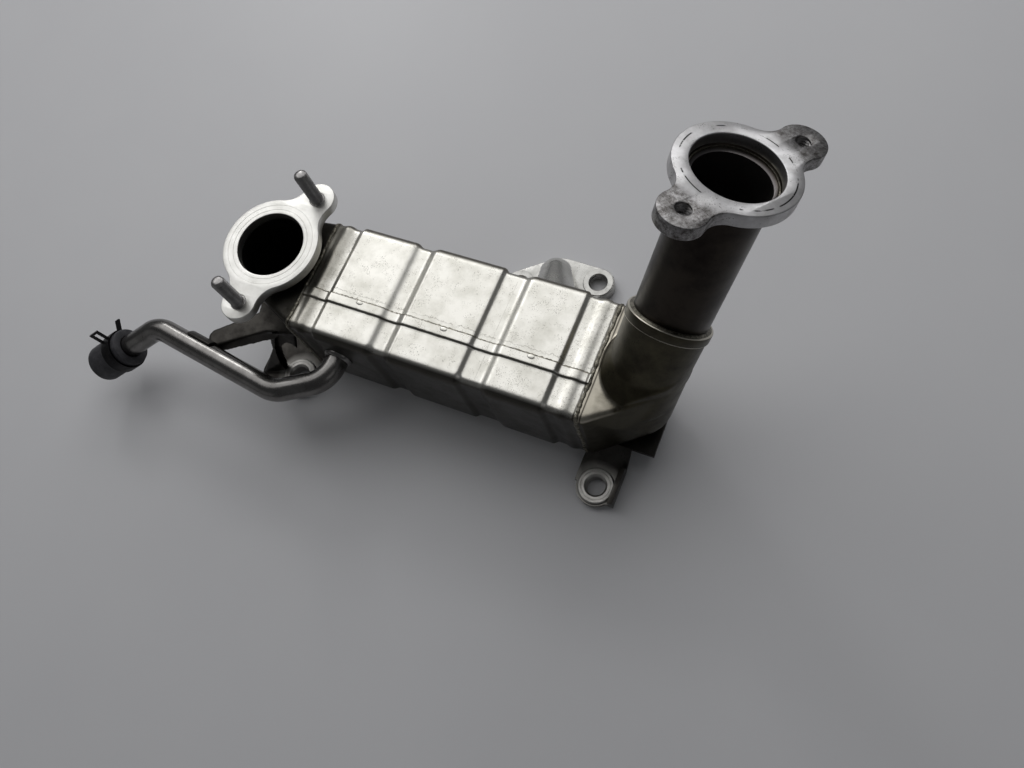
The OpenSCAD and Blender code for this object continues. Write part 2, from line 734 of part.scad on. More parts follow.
// A hollow tube swept along that line: outer rings there, inner rings back
module bent_tube(path, r, wall, bend_r) {
    line = tube_line(path, bend_r);
    rings = concat([for (s = line) tube_ring(s[0], s[1], r)],
                   [for (s = reversed(line)) tube_ring(s[0], s[1], r - wall)]);
    n = len(rings);
    faces = [for (i = [0:n - 1], j = [0:tube_sides - 1])
        let (a = i * tube_sides, b = (i + 1) % n * tube_sides, j1 = (j + 1) % tube_sides)
        each [[a + j, b + j1, b + j], [a + j, a + j1, b + j1]]];
    polyhedron([for (ring = rings) each ring], faces, convexity = 6);
}
function tube_ring(p, d, r) = let (side = unit(cross([0, 0, 1], d)), up = cross(d, side))
    [for (j = [0:tube_sides - 1]) let (b = 360 * j / tube_sides) p + r * (up * cos(b) + side * sin(b))];
function bend_angle(path, i) = acos(unit(path[i] - path[i - 1]) * unit(path[i + 1] - path[i]));
function bend_cut(path, i, bend_r) = bend_r * tan(bend_angle(path, i) / 2);

module coolant_tube() {
    color("#9c9b98")
        union() {
            bent_tube(tube_path, tube_d / 2, tube_t, tube_bend_r);
            translate(tube_panel - [0, braze_gap, 0])
                rotate([90, 0, 0])
                    difference() {
                        cylinder(h = tube_bead_h, d1 = tube_bead_d, d2 = tube_bead_d - 2 * tube_bead_slope);
                        translate([0, 0, -1])
                            cylinder(h = tube_bead_h + 2, d = tube_d - tube_t);
                    }
        }
}

module on_hose(t) {
    aimed(tube_turn_3 + tube_last * t, tube_last)
        children();
}

module hose_stub() {
    color("#232325")
        on_hose(hose_at)
            difference() {
                cylinder(h = hose_len, d = hose_d);
                translate([0, 0, -1])
                    cylinder(h = hose_len + 2, d = hose_bore_d);
                translate([0, 0, -1])
                    cylinder(h = hose_grip + slip_fit + 1, d = tube_d + 2 * slip_fit);
            }
}

clamp_at = 8;
tab_out = 9;
tab_angle = 258;
loop_angle = 197;
window_from = 2;
window_run = 5.5;
module hose_clamp() {
    color("#1d1d1f")
        on_hose(hose_at + clamp_at - clamp_w / 2) {
            difference() {
                cylinder(h = clamp_w, r = hose_d / 2 + slip_fit + clamp_t);
                translate([0, 0, -1])
                    cylinder(h = clamp_w + 2, r = hose_d / 2 + slip_fit);
            }
            clamp_tab(tab_angle, clamp_w / 2, false);
            clamp_tab(loop_angle, clamp_w, true);
        }
}

// A turned-up end of the spring band; one of the two is a loop with a window
module clamp_tab(angle, w, window) {
    rotate([0, 0, angle])
        translate([hose_d / 2 + slip_fit + clamp_t / 2, -clamp_t / 2, (clamp_w - w) / 2])
            difference() {
                cube([tab_out, clamp_t, w]);
                if (window)
                    translate([window_from, -1, w / 4])
                        cube([window_run, clamp_t + 2, w / 2]);
            }
}

// Saddle behind the tube, at the end of the bracket's arm
clip_along = 0.64;
clip_w = 18;
clip_t = 1.5;
clip_wrap = 110;
clip_mid = tube_turn_2 + (tube_turn_3 - tube_turn_2) * clip_along;
module tube_clip() {
    color("#3b3a39")
        aimed(clip_mid, tube_turn_3 - tube_turn_2)
            translate([0, 0, -clip_w / 2])
                rotate([0, 0, -90 - clip_wrap / 2])
                    rotate_extrude(angle = clip_wrap)
                        translate([tube_d / 2 + slip_fit, 0])
                            square([clip_t, clip_w]);
}

// Left bracket: an arm to the tube clip and a leg down to the left foot, pressed from one sheet
left_foot = [casing_x0 - left_foot_x, casing_y0 - left_foot_y];
foot_z = 3;
foot_rim = 1;
arm_z = tube_z - bracket_t / 2;
arm_root_r = 8;
arm_end_r = 5.5;
arm_root = [outlet_axis.x, casing_y0 + arm_root_r];
arm_end = [clip_mid.x + bracket_t, clip_mid.y + tube_d / 2 + slip_fit + clip_t + 4];
leg_top = [2, 15];
leg_foot = [-24, -7, 12];
toe = [-20, -3];
toe_r = 7;

module left_bracket() {
    color("#3a3938")
        difference() {
            union() {
                translate([0, 0, arm_z])
                    linear_extrude(bracket_t)
                        polygon(strap(arm_root, arm_root_r, arm_end, arm_end_r));
                hull() {
                    translate([arm_root.x + leg_top[0], casing_y0, arm_z])
                        cube([leg_top[1], bracket_t, bracket_t]);
                    translate([left_foot.x + leg_foot[0], left_foot.y + leg_foot[1], foot_z])
                        cube([leg_foot[2], bracket_t, bracket_t]);
                }
                translate([0, 0, foot_z])
                    linear_extrude(bracket_t)
                        polygon(strap(left_foot, boss_d / 2 + foot_rim, left_foot + toe, toe_r));
            }
            translate([left_foot.x, left_foot.y, -1])
                cylinder(h = bush_h + 2, d = boss_d + 2 * braze_gap);
            bonnet_body(0, casing_x0 - 1);
            aimed(clip_mid, tube_turn_3 - tube_turn_2)
                cylinder(h = 4 * clip_w, d = tube_d + 2 * (slip_fit + clip_t), center = true);
        }
}

// A turned bush that takes the mounting bolt
bush_edge = 0.6;
module foot_bush(p) {
    rim_r = boss_d / 2;
    bore_r = boss_hole_d / 2;
    color("#b5b4ae")
        translate([p.x, p.y, 0])
            rotate_extrude()
                polygon([[bore_r, 0], [rim_r, 0], [rim_r, bush_h - bush_edge], [rim_r - bush_edge, bush_h],
                         [bore_r + bush_sink, bush_h], [bore_r, bush_h - bush_sink]]);
}

// Right bracket: a plate under the elbow, stepped down to the right foot, with a turned-up stiffening edge
right_foot = [casing_x1 + right_foot_x, casing_y0 - right_foot_y];
plate_half = 13;
plate_back = 14;
shelf_z = casing_z0 + panel_raise - 2;
shelf_y = casing_y0 + 12;
shelf_size = [36, 40];
edge_front = 8;
edge_h = 9;

module right_bracket() {
    left = right_foot.x - plate_half;
    right = right_foot.x + plate_half;
    color("#3f3e3c")
        difference() {
            union() {
                translate([left + bracket_t, shelf_y, shelf_z])
                    cube([shelf_size.x, shelf_size.y, bracket_t]);
                hull() {
                    translate([left + bracket_t, shelf_y, shelf_z])
                        cube([right - left - bracket_t, nudge, bracket_t]);
                    translate([left, right_foot.y + plate_back, foot_z])
                        cube([right - left, nudge, bracket_t]);
                }
                translate([0, 0, foot_z])
                    linear_extrude(bracket_t) {
                        translate(right_foot)
                            circle(d = boss_d + 2 * foot_rim);
                        translate([left, right_foot.y])
                            square([right - left, plate_back]);
                        translate([right_foot.x, right_foot.y - edge_front])
                            square([right - right_foot.x, edge_front + 1]);
                    }
                translate([right - bracket_t, right_foot.y - edge_front, foot_z])
                    cube([bracket_t, edge_front + plate_back, edge_h]);
            }
            translate([right_foot.x, right_foot.y, -1])
                cylinder(h = bush_h + 2, d = boss_d + 2 * braze_gap);
            elbow_body(0);
            casing_envelope();
        }
}

casing_rear_half();
casing_front_half();
header_plate(core_x1 - header_t);  // inlet_header_plate
header_plate(core_x0);  // outlet_header_plate
for (i = [1:gas_tube_count]) gas_tube(i);
for (i = [1:gas_tube_count]) gas_fin(i);
inlet_elbow();
inlet_pipe();
inlet_flange();
outlet_bonnet();
outlet_flange();
outlet_stud(0);  // outlet_stud_front
outlet_stud(1);  // outlet_stud_back
coolant_flange();
coolant_cover();
coolant_tube();
tube_clip();
hose_stub();
hose_clamp();
left_bracket();
foot_bush(left_foot);  // left_foot_bush
right_bracket();
foot_bush(right_foot);  // right_foot_bush
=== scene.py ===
import math

import bmesh
import bpy
import numpy as np
from mathutils import Matrix, Vector, noise
from mathutils.geometry import convex_hull_2d, tessellate_polygon


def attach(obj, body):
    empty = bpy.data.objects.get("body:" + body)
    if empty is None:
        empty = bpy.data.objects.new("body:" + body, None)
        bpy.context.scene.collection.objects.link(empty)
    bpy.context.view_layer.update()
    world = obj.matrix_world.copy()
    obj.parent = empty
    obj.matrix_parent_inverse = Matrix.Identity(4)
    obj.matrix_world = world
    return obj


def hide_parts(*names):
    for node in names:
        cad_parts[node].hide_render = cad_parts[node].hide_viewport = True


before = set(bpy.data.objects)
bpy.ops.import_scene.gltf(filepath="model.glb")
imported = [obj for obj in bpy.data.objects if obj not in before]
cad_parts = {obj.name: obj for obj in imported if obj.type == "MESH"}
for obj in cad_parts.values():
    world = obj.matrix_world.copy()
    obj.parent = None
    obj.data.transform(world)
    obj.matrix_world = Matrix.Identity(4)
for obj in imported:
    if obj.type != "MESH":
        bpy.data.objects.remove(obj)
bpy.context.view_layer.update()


# Casing half shells
# Two half shells pressed from 1.2 mm stainless sheet, with raised panels, cross grooves and flat collars.
# The front half is joggled over the rear half along the top and the underside, and the lap is brazed.
MM = 0.001
CASING_X, CASING_Y, CASING_Z = (-119.5, 57.5), (-100.5, -26.5), (12.0, 72.0)
CASING_LEN = CASING_X[1] - CASING_X[0]
SHEET, EDGE_R, PANEL_RAISE = 1.2, 6.0, 2.0
LAP_Y, JOGGLE = (-77.5, -72.5), 1.25
SLOPES = ((15.0, 19.5, -1), (51.0, 58.0, 1), (61.0, 69.0, -1),
          (107.0, 112.0, 1), (120.0, 129.0, -1), (157.0, 161.5, 1))
SLOPE_TRIM, SLOPE_EASE = 0.15, 0.36
WAVE_LEN, WAVE_H, WAVE_SEED = 30, 0.05, 1
BEADS, BEAD_W, BEAD_H = (7.5, 169.25), 10.0, 1.0


def linear(hex_colour):
    """An sRGB hex colour as linear RGBA."""
    parts = [int(hex_colour[i:i + 2], 16) / 255 for i in (1, 3, 5)]
    return [c / 12.92 if c <= 0.04045 else ((c + 0.055) / 1.055) ** 2.4 for c in parts] + [1.0]


def add(tree, kind, settings=None):
    """Adds a node, sets its properties, sets or links its inputs, and gives its first output in use."""
    made = tree.nodes.new(kind)
    for name, value in (settings or {}).items():
        if isinstance(name, str) and hasattr(made, name):
            setattr(made, name, value)
        elif isinstance(value, bpy.types.NodeSocket):
            tree.links.new(value, made.inputs[name])
        else:
            made.inputs[name].default_value = value
    return next(output for output in made.outputs if output.enabled)


def cells(size_mm):
    """The texture scale at which one cell of a pattern is size_mm wide."""
    return 1.0 / (size_mm * MM)


def steel_finish(name, clean, stain, patch_mm, rough, grain_mm, bump, speck, speck_mm, speck_share):
    """A steel surface: patches of stain on the clean metal, dark specks that gather in places, and a grain
    that roughens it, drawn coarser than the real one so that it shows. Gives the material and what a piece's
    own marks need: the tree, the shader, the place on the surface and the colour so far."""
    material = bpy.data.materials.new(name)
    material.use_nodes = True
    tree = material.node_tree
    shader = tree.nodes["Principled BSDF"]
    shader.inputs["Metallic"].default_value = 1.0
    place = add(tree, "ShaderNodeTexCoord").node.outputs["Object"]
    patches = add(tree, "ShaderNodeTexNoise",
                  {"Scale": cells(patch_mm), "Detail": 6.0, "Roughness": 0.65, "Vector": place})
    amount = add(tree, "ShaderNodeMapRange", {"From Min": 0.4, "From Max": 0.7, "Value": patches})
    colour = add(tree, "ShaderNodeMix", {"data_type": "RGBA", 0: amount, 6: linear(clean), 7: linear(stain)})
    dots = add(tree, "ShaderNodeTexVoronoi", {"Scale": cells(speck_mm), "Vector": place})
    spot = add(tree, "ShaderNodeMapRange", {"From Min": 0.36, "From Max": 0.2, "Value": dots})
    crowd = add(tree, "ShaderNodeTexNoise",
                {"Scale": cells(9 * speck_mm), "Detail": 5.0, "Roughness": 0.7, "Vector": place})
    gathered = add(tree, "ShaderNodeMapRange",
                   {"From Min": 0.6 - speck_share, "From Max": 0.72 - speck_share, "Value": crowd})
    dark = add(tree, "ShaderNodeMath", {"operation": "MULTIPLY", 0: spot, 1: gathered})
    colour = add(tree, "ShaderNodeMix", {"data_type": "RGBA", 0: dark, 6: colour, 7: linear(speck)})
    grain = add(tree, "ShaderNodeTexNoise",
                {"Scale": cells(grain_mm), "Detail": 4.0, "Roughness": 0.7, "Vector": place})
    both = add(tree, "ShaderNodeMath", {"operation": "ADD", 0: grain, 1: amount})
    gloss = add(tree, "ShaderNodeMapRange",
                {"From Min": 0.3, "From Max": 1.6, "To Min": rough[0], "To Max": rough[1], "Value": both})
    relief = add(tree, "ShaderNodeBump", {"Strength": bump, "Distance": 0.1 * MM, "Height": grain})
    tree.links.new(colour, shader.inputs["Base Color"])
    tree.links.new(gloss, shader.inputs["Roughness"])
    tree.links.new(relief, shader.inputs["Normal"])
    return material, tree, shader, place, colour


def put(mesh, material, stands_for=(), crease=40, place=None):
    """Makes a smooth-shaded piece of a mesh, with edges sharper than the crease angle left crisp."""
    if place is not None:
        mesh.transform(place)
    mesh.polygons.foreach_set("use_smooth", [True] * len(mesh.polygons))
    mesh.set_sharp_from_angle(angle=math.radians(crease))
    mesh.materials.clear()
    mesh.materials.append(material)
    piece = bpy.data.objects.new(mesh.name, mesh)
    bpy.context.scene.collection.objects.link(piece)
    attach(piece, "root")
    for node in stands_for:
        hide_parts(node)


def mesh_of(name, points, faces):
    """A mesh from points in millimetres, with its faces turned outwards."""
    mesh = bpy.data.meshes.new(name)
    mesh.from_pydata((np.asarray(points, float) * MM).tolist(), [], faces)
    shape = bmesh.new()
    shape.from_mesh(mesh)
    bmesh.ops.recalc_face_normals(shape, faces=shape.faces)
    shape.to_mesh(mesh)
    shape.free()
    return mesh


def weave(rows, cols, rows_closed=False, cols_closed=True, first=0):
    """Faces of a net of rows by cols points."""
    return [(first + i * cols + j, first + i * cols + (j + 1) % cols,
             first + (i + 1) % rows * cols + (j + 1) % cols, first + (i + 1) % rows * cols + j)
            for i in range(rows if rows_closed else rows - 1)
            for j in range(cols if cols_closed else cols - 1)]


def line(start, end, steps):
    """Points from start towards end, without the end itself."""
    return np.linspace(start, end, steps, endpoint=False)


def arc(centre, radius, from_deg, to_deg, steps):
    """Points along an arc, without its last one."""
    turn = np.radians(np.linspace(from_deg, to_deg, steps, endpoint=False))
    return np.asarray(centre) + radius * np.column_stack([np.cos(turn), np.sin(turn)])


def drop(s):
    """Depth of the sheet below the raised panels at a distance s from the left weld edge."""
    depth = PANEL_RAISE
    for start, end, way in SLOPES:
        t = min(max((s - start) / (end - start) * (1 + 2 * SLOPE_TRIM) - SLOPE_TRIM, 0), 1)
        near = min(t, 1 - t)
        flank = near ** 2 / (2 * SLOPE_EASE) if near < SLOPE_EASE else near - SLOPE_EASE / 2
        depth += way * PANEL_RAISE * (flank if t < 0.5 else 1 - SLOPE_EASE - flank) / (1 - SLOPE_EASE)
    for middle in BEADS:
        t = min(max((s - middle) / BEAD_W + 0.5, 0), 1)
        depth -= BEAD_H * (1 - math.cos(2 * math.pi * t)) / 2
    return depth


def rear_path(inset):
    """The rear half's outline across the casing, drawn in by inset."""
    r = EDGE_R - min(inset, EDGE_R - 1)
    y, top, bottom = CASING_Y[1] - inset, CASING_Z[1] - inset, CASING_Z[0] + inset
    edge = LAP_Y[0] + JOGGLE
    return np.vstack([
        line((edge, top), (y - r, top), 22), arc((y - r, top - r), r, 90, 0, 9),
        line((y, top - r), (y, bottom + r), 24), arc((y - r, bottom + r), r, 0, -90, 9),
        line((y - r, bottom), (edge, bottom), 22), [(edge, bottom)]])


def front_path(inset):
    """The front half's outline, which steps up over the rear half's edges."""
    r = EDGE_R - min(inset, EDGE_R - 1)
    y, top, bottom = CASING_Y[0] + inset, CASING_Z[1] - inset, CASING_Z[0] + inset
    step = [(1 - math.cos(math.pi * i / 6)) / 2 for i in range(6)]
    return np.vstack([
        line((LAP_Y[1], top + JOGGLE), (LAP_Y[0], top + JOGGLE), 6),
        [(LAP_Y[0] - JOGGLE * i / 6, top + JOGGLE * (1 - k)) for i, k in enumerate(step)],
        line((LAP_Y[0] - JOGGLE, top), (y + r, top), 12), arc((y + r, top - r), r, 90, 180, 9),
        line((y, top - r), (y, bottom + r), 24), arc((y + r, bottom + r), r, 180, 270, 9),
        line((y + r, bottom), (LAP_Y[0] - JOGGLE, bottom), 12),
        [(LAP_Y[0] - JOGGLE * (1 - i / 6), bottom - JOGGLE * k) for i, k in enumerate(step)],
        line((LAP_Y[0], bottom - JOGGLE), (LAP_Y[1], bottom - JOGGLE), 6), [(LAP_Y[1], bottom - JOGGLE)]])


def half_shell(name, path):
    """A shell of even thickness along the casing, with the faint waves that pressed sheet has."""
    points, stations = [], np.linspace(0, CASING_LEN, 237)
    for s in stations:
        outer, inner = path(drop(s)), path(drop(s) + SHEET)[::-1]
        points += [(CASING_X[0] + s, y, z) for y, z in np.vstack([outer, inner])]
    cols, half = len(points) // len(stations), len(points) // len(stations) // 2
    caps = [(i, i + 1, cols - 2 - i, cols - 1 - i) for i in range(half - 1)]
    last = cols * (len(stations) - 1)
    faces = weave(len(stations), cols) + caps + [tuple(last + k for k in reversed(cap)) for cap in caps]
    noise.seed_set(WAVE_SEED)
    waved = [Vector(p) + noise.noise_vector(Vector(p) / WAVE_LEN) * WAVE_H for p in points]
    return mesh_of(name, waved, faces)


# Braze-stained stainless sheet: bright satin metal, faintly clouded by dried flux and dotted with furnace
# dirt, which lies thickest on the collars next to the welds. Die lines show where the grooves rise, and a
# dried flux line follows the lap. Painted shade darkens the crevices at the lap and beside the end welds, and
# the outlet collar under the flange over some stain. Road dirt darkens the sides, and painted shade the front
# one more.
casing_steel, tree, shader, place, colour = steel_finish(
    "braze_stained_stainless_sheet", "#e8e6df", "#d0cec5", patch_mm=13, rough=(0.28, 0.44), grain_mm=0.7,
    bump=0.22, speck="#87837a", speck_mm=0.7, speck_share=0.11)
where = add(tree, "ShaderNodeSeparateXYZ", {"Vector": place}).node.outputs
uneven = add(tree, "ShaderNodeTexNoise",
             {"Scale": cells(5), "Detail": 5.0, "Roughness": 0.7, "Vector": place})
flaky = add(tree, "ShaderNodeMapRange", {"From Min": 0.4, "From Max": 0.62, "Value": uneven})


def line_mask(axis, at_mm, half_mm, sway_mm, share):
    """Up to share on a thin line across the axis, which sways with the uneven noise."""
    sway = add(tree, "ShaderNodeMapRange",
               {"To Min": (at_mm - sway_mm) * MM, "To Max": (at_mm + sway_mm) * MM, "Value": uneven})
    off = add(tree, "ShaderNodeMath", {"operation": "SUBTRACT", 0: where[axis], 1: sway})
    far = add(tree, "ShaderNodeMath", {"operation": "ABSOLUTE", 0: off})
    return add(tree, "ShaderNodeMapRange",
               {"From Min": half_mm * MM, "From Max": 0.4 * half_mm * MM, "To Max": share, "Value": far})


for axis, at_mm, half_mm, sway_mm, share in (
        ("X", -51.6, 0.5, 0.5, 0.5), ("X", -0.9, 0.22, 0.1, 0.5), ("X", 4.9, 0.22, 0.1, 0.5),
        ("Y", LAP_Y[1] + 3.0, 0.35, 4.0, 0.7)):
    broken = add(tree, "ShaderNodeMath",
                 {"operation": "MULTIPLY", 0: line_mask(axis, at_mm, half_mm, sway_mm, share), 1: flaky})
    colour = add(tree, "ShaderNodeMix", {"data_type": "RGBA", 0: broken, 6: colour, 7: linear("#6f6a5e")})
# Painted shade: dark lines in the joggle's step, along the lapped edge and beside the welds at both ends,
# where shade lies in these crevices.
for axis, at_mm, half_mm, share in (
        ("Y", LAP_Y[0] - 0.65, 0.65, 0.8), ("Y", LAP_Y[1] + 0.35, 0.45, 0.85),
        ("X", CASING_X[0] + 1.1, 0.7, 0.8), ("X", CASING_X[1] - 1.1, 0.7, 0.8)):
    painted_crevice_shade = line_mask(axis, at_mm, half_mm, 0.6, share)
    colour = add(tree, "ShaderNodeMix", {"data_type": "RGBA", 0: painted_crevice_shade, 6: colour, 7: linear("#3a362f")})
middle = sum(CASING_X) / 2 * MM
from_middle = add(tree, "ShaderNodeMath", {"operation": "SUBTRACT", 0: where["X"], 1: middle})
out_along = add(tree, "ShaderNodeMath", {"operation": "ABSOLUTE", 0: from_middle})
collar = add(tree, "ShaderNodeMapRange", {"From Min": 70 * MM, "From Max": 74 * MM, "Value": out_along})
dirt = add(tree, "ShaderNodeTexNoise",
           {"Scale": cells(1.3), "Detail": 5.0, "Roughness": 0.75, "Vector": place})
collar_dirt_and_hump_shade = add(tree, "ShaderNodeMapRange", {"From Min": 0.52, "From Max": 0.72, "To Max": 0.65, "Value": dirt})
on_collar = add(tree, "ShaderNodeMath", {"operation": "MULTIPLY", 0: collar_dirt_and_hump_shade, 1: collar})
colour = add(tree, "ShaderNodeMix", {"data_type": "RGBA", 0: on_collar, 6: colour, 7: linear("#6a665b")})
# Painted shade: the collar at the outlet end is darkened for the outlet flange's shadow, over some stain.
stain_and_flange_shade = add(tree, "ShaderNodeMapRange",
           {"From Min": -104 * MM, "From Max": -109 * MM, "To Max": 0.6, "Value": where["X"]})
colour = add(tree, "ShaderNodeMix", {"data_type": "RGBA", 0: stain_and_flange_shade, 6: colour, 7: linear("#7f7b71")})
# Road dirt on both sides, with painted shade making the front side much darker than the back.
across = add(tree, "ShaderNodeMath", {"operation": "SUBTRACT", 0: where["Y"], 1: sum(CASING_Y) / 2 * MM})
out_across = add(tree, "ShaderNodeMath", {"operation": "ABSOLUTE", 0: across})
half_w = (CASING_Y[1] - CASING_Y[0]) / 2
side_grime_and_shade = add(tree, "ShaderNodeMapRange",
            {"From Min": (half_w - 5.0) * MM, "From Max": (half_w - 2.4) * MM, "To Max": 0.95,
             "Value": out_across})
at_back = add(tree, "ShaderNodeMath", {"operation": "GREATER_THAN", 0: across, 1: 0.0})
grime_and_front_shade = add(tree, "ShaderNodeMix",
            {"data_type": "RGBA", 0: at_back, 6: linear("#302d28"), 7: linear("#5f5a51")})
colour = add(tree, "ShaderNodeMix", {"data_type": "RGBA", 0: side_grime_and_shade, 6: colour, 7: grime_and_front_shade})
tree.links.new(colour, shader.inputs["Base Color"])

put(half_shell("casing_rear_skin", rear_path), casing_steel, ["casing_rear_half"])
put(half_shell("casing_front_skin", front_path), casing_steel, ["casing_front_half"])


# Lap braze and end welds
# Nickel braze fills the corner behind the lapped edge, top and underside, with three tacks that held the
# halves for the furnace. A fillet weld runs round each end of the casing, laid by hand in short ripples.
TACK_X = (-81.5, -28.0, 24.2)

# Dull braze and weld metal: grey brown, scaly, rougher than the sheet.
weld_metal = steel_finish(
    "scaled_weld_metal", "#928e82", "#3d3a32", patch_mm=2.4, rough=(0.38, 0.6), grain_mm=0.5,
    bump=0.5, speck="#1f1d19", speck_mm=0.8, speck_share=0.2)[0]


def braze_line(side):
    """Points of the braze fillet along one lap: side is 1 on the top and -1 on the underside."""
    points, base = [], CASING_Z[1] if side > 0 else CASING_Z[0]
    for s in np.linspace(0.8, CASING_LEN - 0.8, 480):
        width = (0.85 + 0.55 * noise.noise(Vector((s / 1.7, side, 0)))
                 + 0.3 * noise.noise(Vector((s / 6, side, 3))))
        crest = JOGGLE + 0.06 + 0.08 * noise.noise(Vector((s / 1.1, side, 7)))
        for y, rise in ((-0.45, JOGGLE - 0.2), (-0.3, crest), (0.12, crest * 0.93),
                        (0.45 * width, crest * 0.5), (width, 0.02), (0.6 * width, -0.35)):
            points.append((CASING_X[0] + s, LAP_Y[1] + y, base + side * (rise - drop(s))))
    return points


points = braze_line(1) + braze_line(-1)
rows = len(points) // 12
put(mesh_of("lap_braze", points, weave(rows, 6) + weave(rows, 6, first=rows * 6)), weld_metal)


def dome(centre, half_x, half_y, rise):
    """A flat drop of metal lying on the sheet."""
    return [(centre[0] + half_x * math.cos(a) * math.sin(b), centre[1] + half_y * math.sin(a) * math.sin(b),
             centre[2] + rise * math.cos(b)) for b in np.linspace(0.02, 1.75, 9)
            for a in np.linspace(0, 2 * math.pi, 24, endpoint=False)]


points, faces = [], []
for x in TACK_X:
    faces += weave(9, 24, first=len(points)) + [tuple(range(len(points), len(points) + 24))]
    points += dome((x, LAP_Y[1] - 1.4, CASING_Z[1] - drop(x - CASING_X[0]) + JOGGLE), 2.1, 1.3, 0.45)
put(mesh_of("lap_tacks", points, faces), casing_steel)


def collar_outline(spacing):
    """The collar's outline across the casing, with points an even distance apart."""
    y0, y1 = CASING_Y[0] + PANEL_RAISE, CASING_Y[1] - PANEL_RAISE
    z0, z1, r = CASING_Z[0] + PANEL_RAISE, CASING_Z[1] - PANEL_RAISE, EDGE_R - PANEL_RAISE
    rough = np.vstack([arc((y1 - r, z1 - r), r, 0, 90, 24), arc((y0 + r, z1 - r), r, 90, 180, 24),
                       arc((y0 + r, z0 + r), r, 180, 270, 24), arc((y1 - r, z0 + r), r, 270, 360, 24)])
    loop = np.vstack([rough, rough[:1]])
    far = np.concatenate([[0], np.cumsum(np.linalg.norm(np.diff(loop, axis=0), axis=1))])
    at = np.linspace(0, far[-1], int(far[-1] / spacing), endpoint=False)
    return np.column_stack([np.interp(at, far, loop[:, 0]), np.interp(at, far, loop[:, 1])])


def end_weld(name, x, lean):
    """A rippled fillet weld round the casing's end; lean shifts it towards the pressed duct."""
    spacing, ripple_len = 0.45, 1.5
    path = collar_outline(spacing)
    ahead = np.roll(path, -1, axis=0) - np.roll(path, 1, axis=0)
    ahead /= np.linalg.norm(ahead, axis=1)[:, None]
    points = []
    for i, ((y, z), (ty, tz)) in enumerate(zip(path, ahead)):
        ripple = abs(i * spacing / ripple_len % 1 - 0.5) * 0.25
        size = 0.85 + ripple + 0.4 * noise.noise(Vector((y / 2.5, z / 2.5, x)))
        side = lean + 0.5 * noise.noise(Vector((y / 5, z / 5, x + 9)))
        for turn in np.linspace(0, 2 * math.pi, 12, endpoint=False):
            out = size * 0.75 * math.cos(turn)
            points.append((x + side + size * 1.2 * math.sin(turn), y + tz * out, z - ty * out))
    return mesh_of(name, points, weave(len(path), 12, rows_closed=True))


put(end_weld("inlet_end_weld", CASING_X[1], 0.4), weld_metal)
put(end_weld("outlet_end_weld", CASING_X[0], -0.4), weld_metal)


# Gas core
# Two header plates with six flat tubes brazed between them, and a folded fin inside each tube.
# It is seen only through the gas bores, where soot has settled on it.

# Sooted stainless: dark matt grey with a brown cast.
core_steel = steel_finish(
    "sooted_stainless_core", "#4a463f", "#2a2825", patch_mm=8, rough=(0.5, 0.7), grain_mm=0.6,
    bump=0.3, speck="#1b1a18", speck_mm=2, speck_share=0.1)[0]
for name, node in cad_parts.items():
    if name.startswith(("gas_", "inlet_header", "outlet_header")):
        node.data.materials.clear()
        node.data.materials.append(core_steel)


# Inlet elbow
# A stainless pressing that turns the casing's rectangular end into a round socket leaning with the pipe.
# Its top stays flat as far as the blend at the socket's foot, and the socket ends in a slanting rolled lip,
# where the pipe is welded in.
ELBOW_FOOT = Vector((76.9, -65.5, 42.0))
PIPE_AXIS = Vector((0.2128, 0.3277, 0.9205)).normalized()
ELBOW_R, ELBOW_WALL, ELBOW_TOP, ELBOW_DEPTH, GAS_R = 20.9, 1.8, 70.0, 28.0, 17.5
FLARE, FLARE_H, FLARE_SHIFT = 4.5, 9.0, Vector((1.5, -4, 0))
LIP_AT, LIP_H, LIP_TILT, LIP_TURN = 67.0, 7.0, math.radians(29), math.radians(35)


def aimed(start, way):
    """A place whose Z axis begins at start, in millimetres, and points along way."""
    way = Vector(way).normalized()
    turn = Matrix.Rotation(math.atan2(way.y, way.x), 4, "Z") @ Matrix.Rotation(math.acos(way.z), 4, "Y")
    return Matrix.Translation(Vector(start) * MM) @ turn


def wrapped(points):
    """The skin stretched over the points."""
    shape = bmesh.new()
    for p in points:
        shape.verts.new(Vector(p) * MM)
    found = bmesh.ops.convex_hull(shape, input=shape.verts)
    spare = found["geom_interior"] + found["geom_unused"]
    inside = dict.fromkeys(v for v in spare if isinstance(v, bmesh.types.BMVert))
    bmesh.ops.delete(shape, geom=list(inside), context="VERTS")
    return shape


def stacked(rings):
    """A closed skin through rings of points."""
    cols, rows = len(rings[0]), len(rings)
    ends = [tuple(range(cols)), tuple(range(cols * (rows - 1), cols * rows))]
    shape = bmesh.new()
    shape.from_mesh(mesh_of("stack", [p for ring in rings for p in ring], weave(rows, cols) + ends))
    return shape


def joined(name, shapes):
    """One mesh of several skins."""
    whole = bmesh.new()
    for shape in shapes:
        scrap = bpy.data.meshes.new("scrap")
        shape.to_mesh(scrap)
        whole.from_mesh(scrap)
        shape.free()
        bpy.data.meshes.remove(scrap)
    mesh = bpy.data.meshes.new(name)
    whole.to_mesh(mesh)
    whole.free()
    return mesh


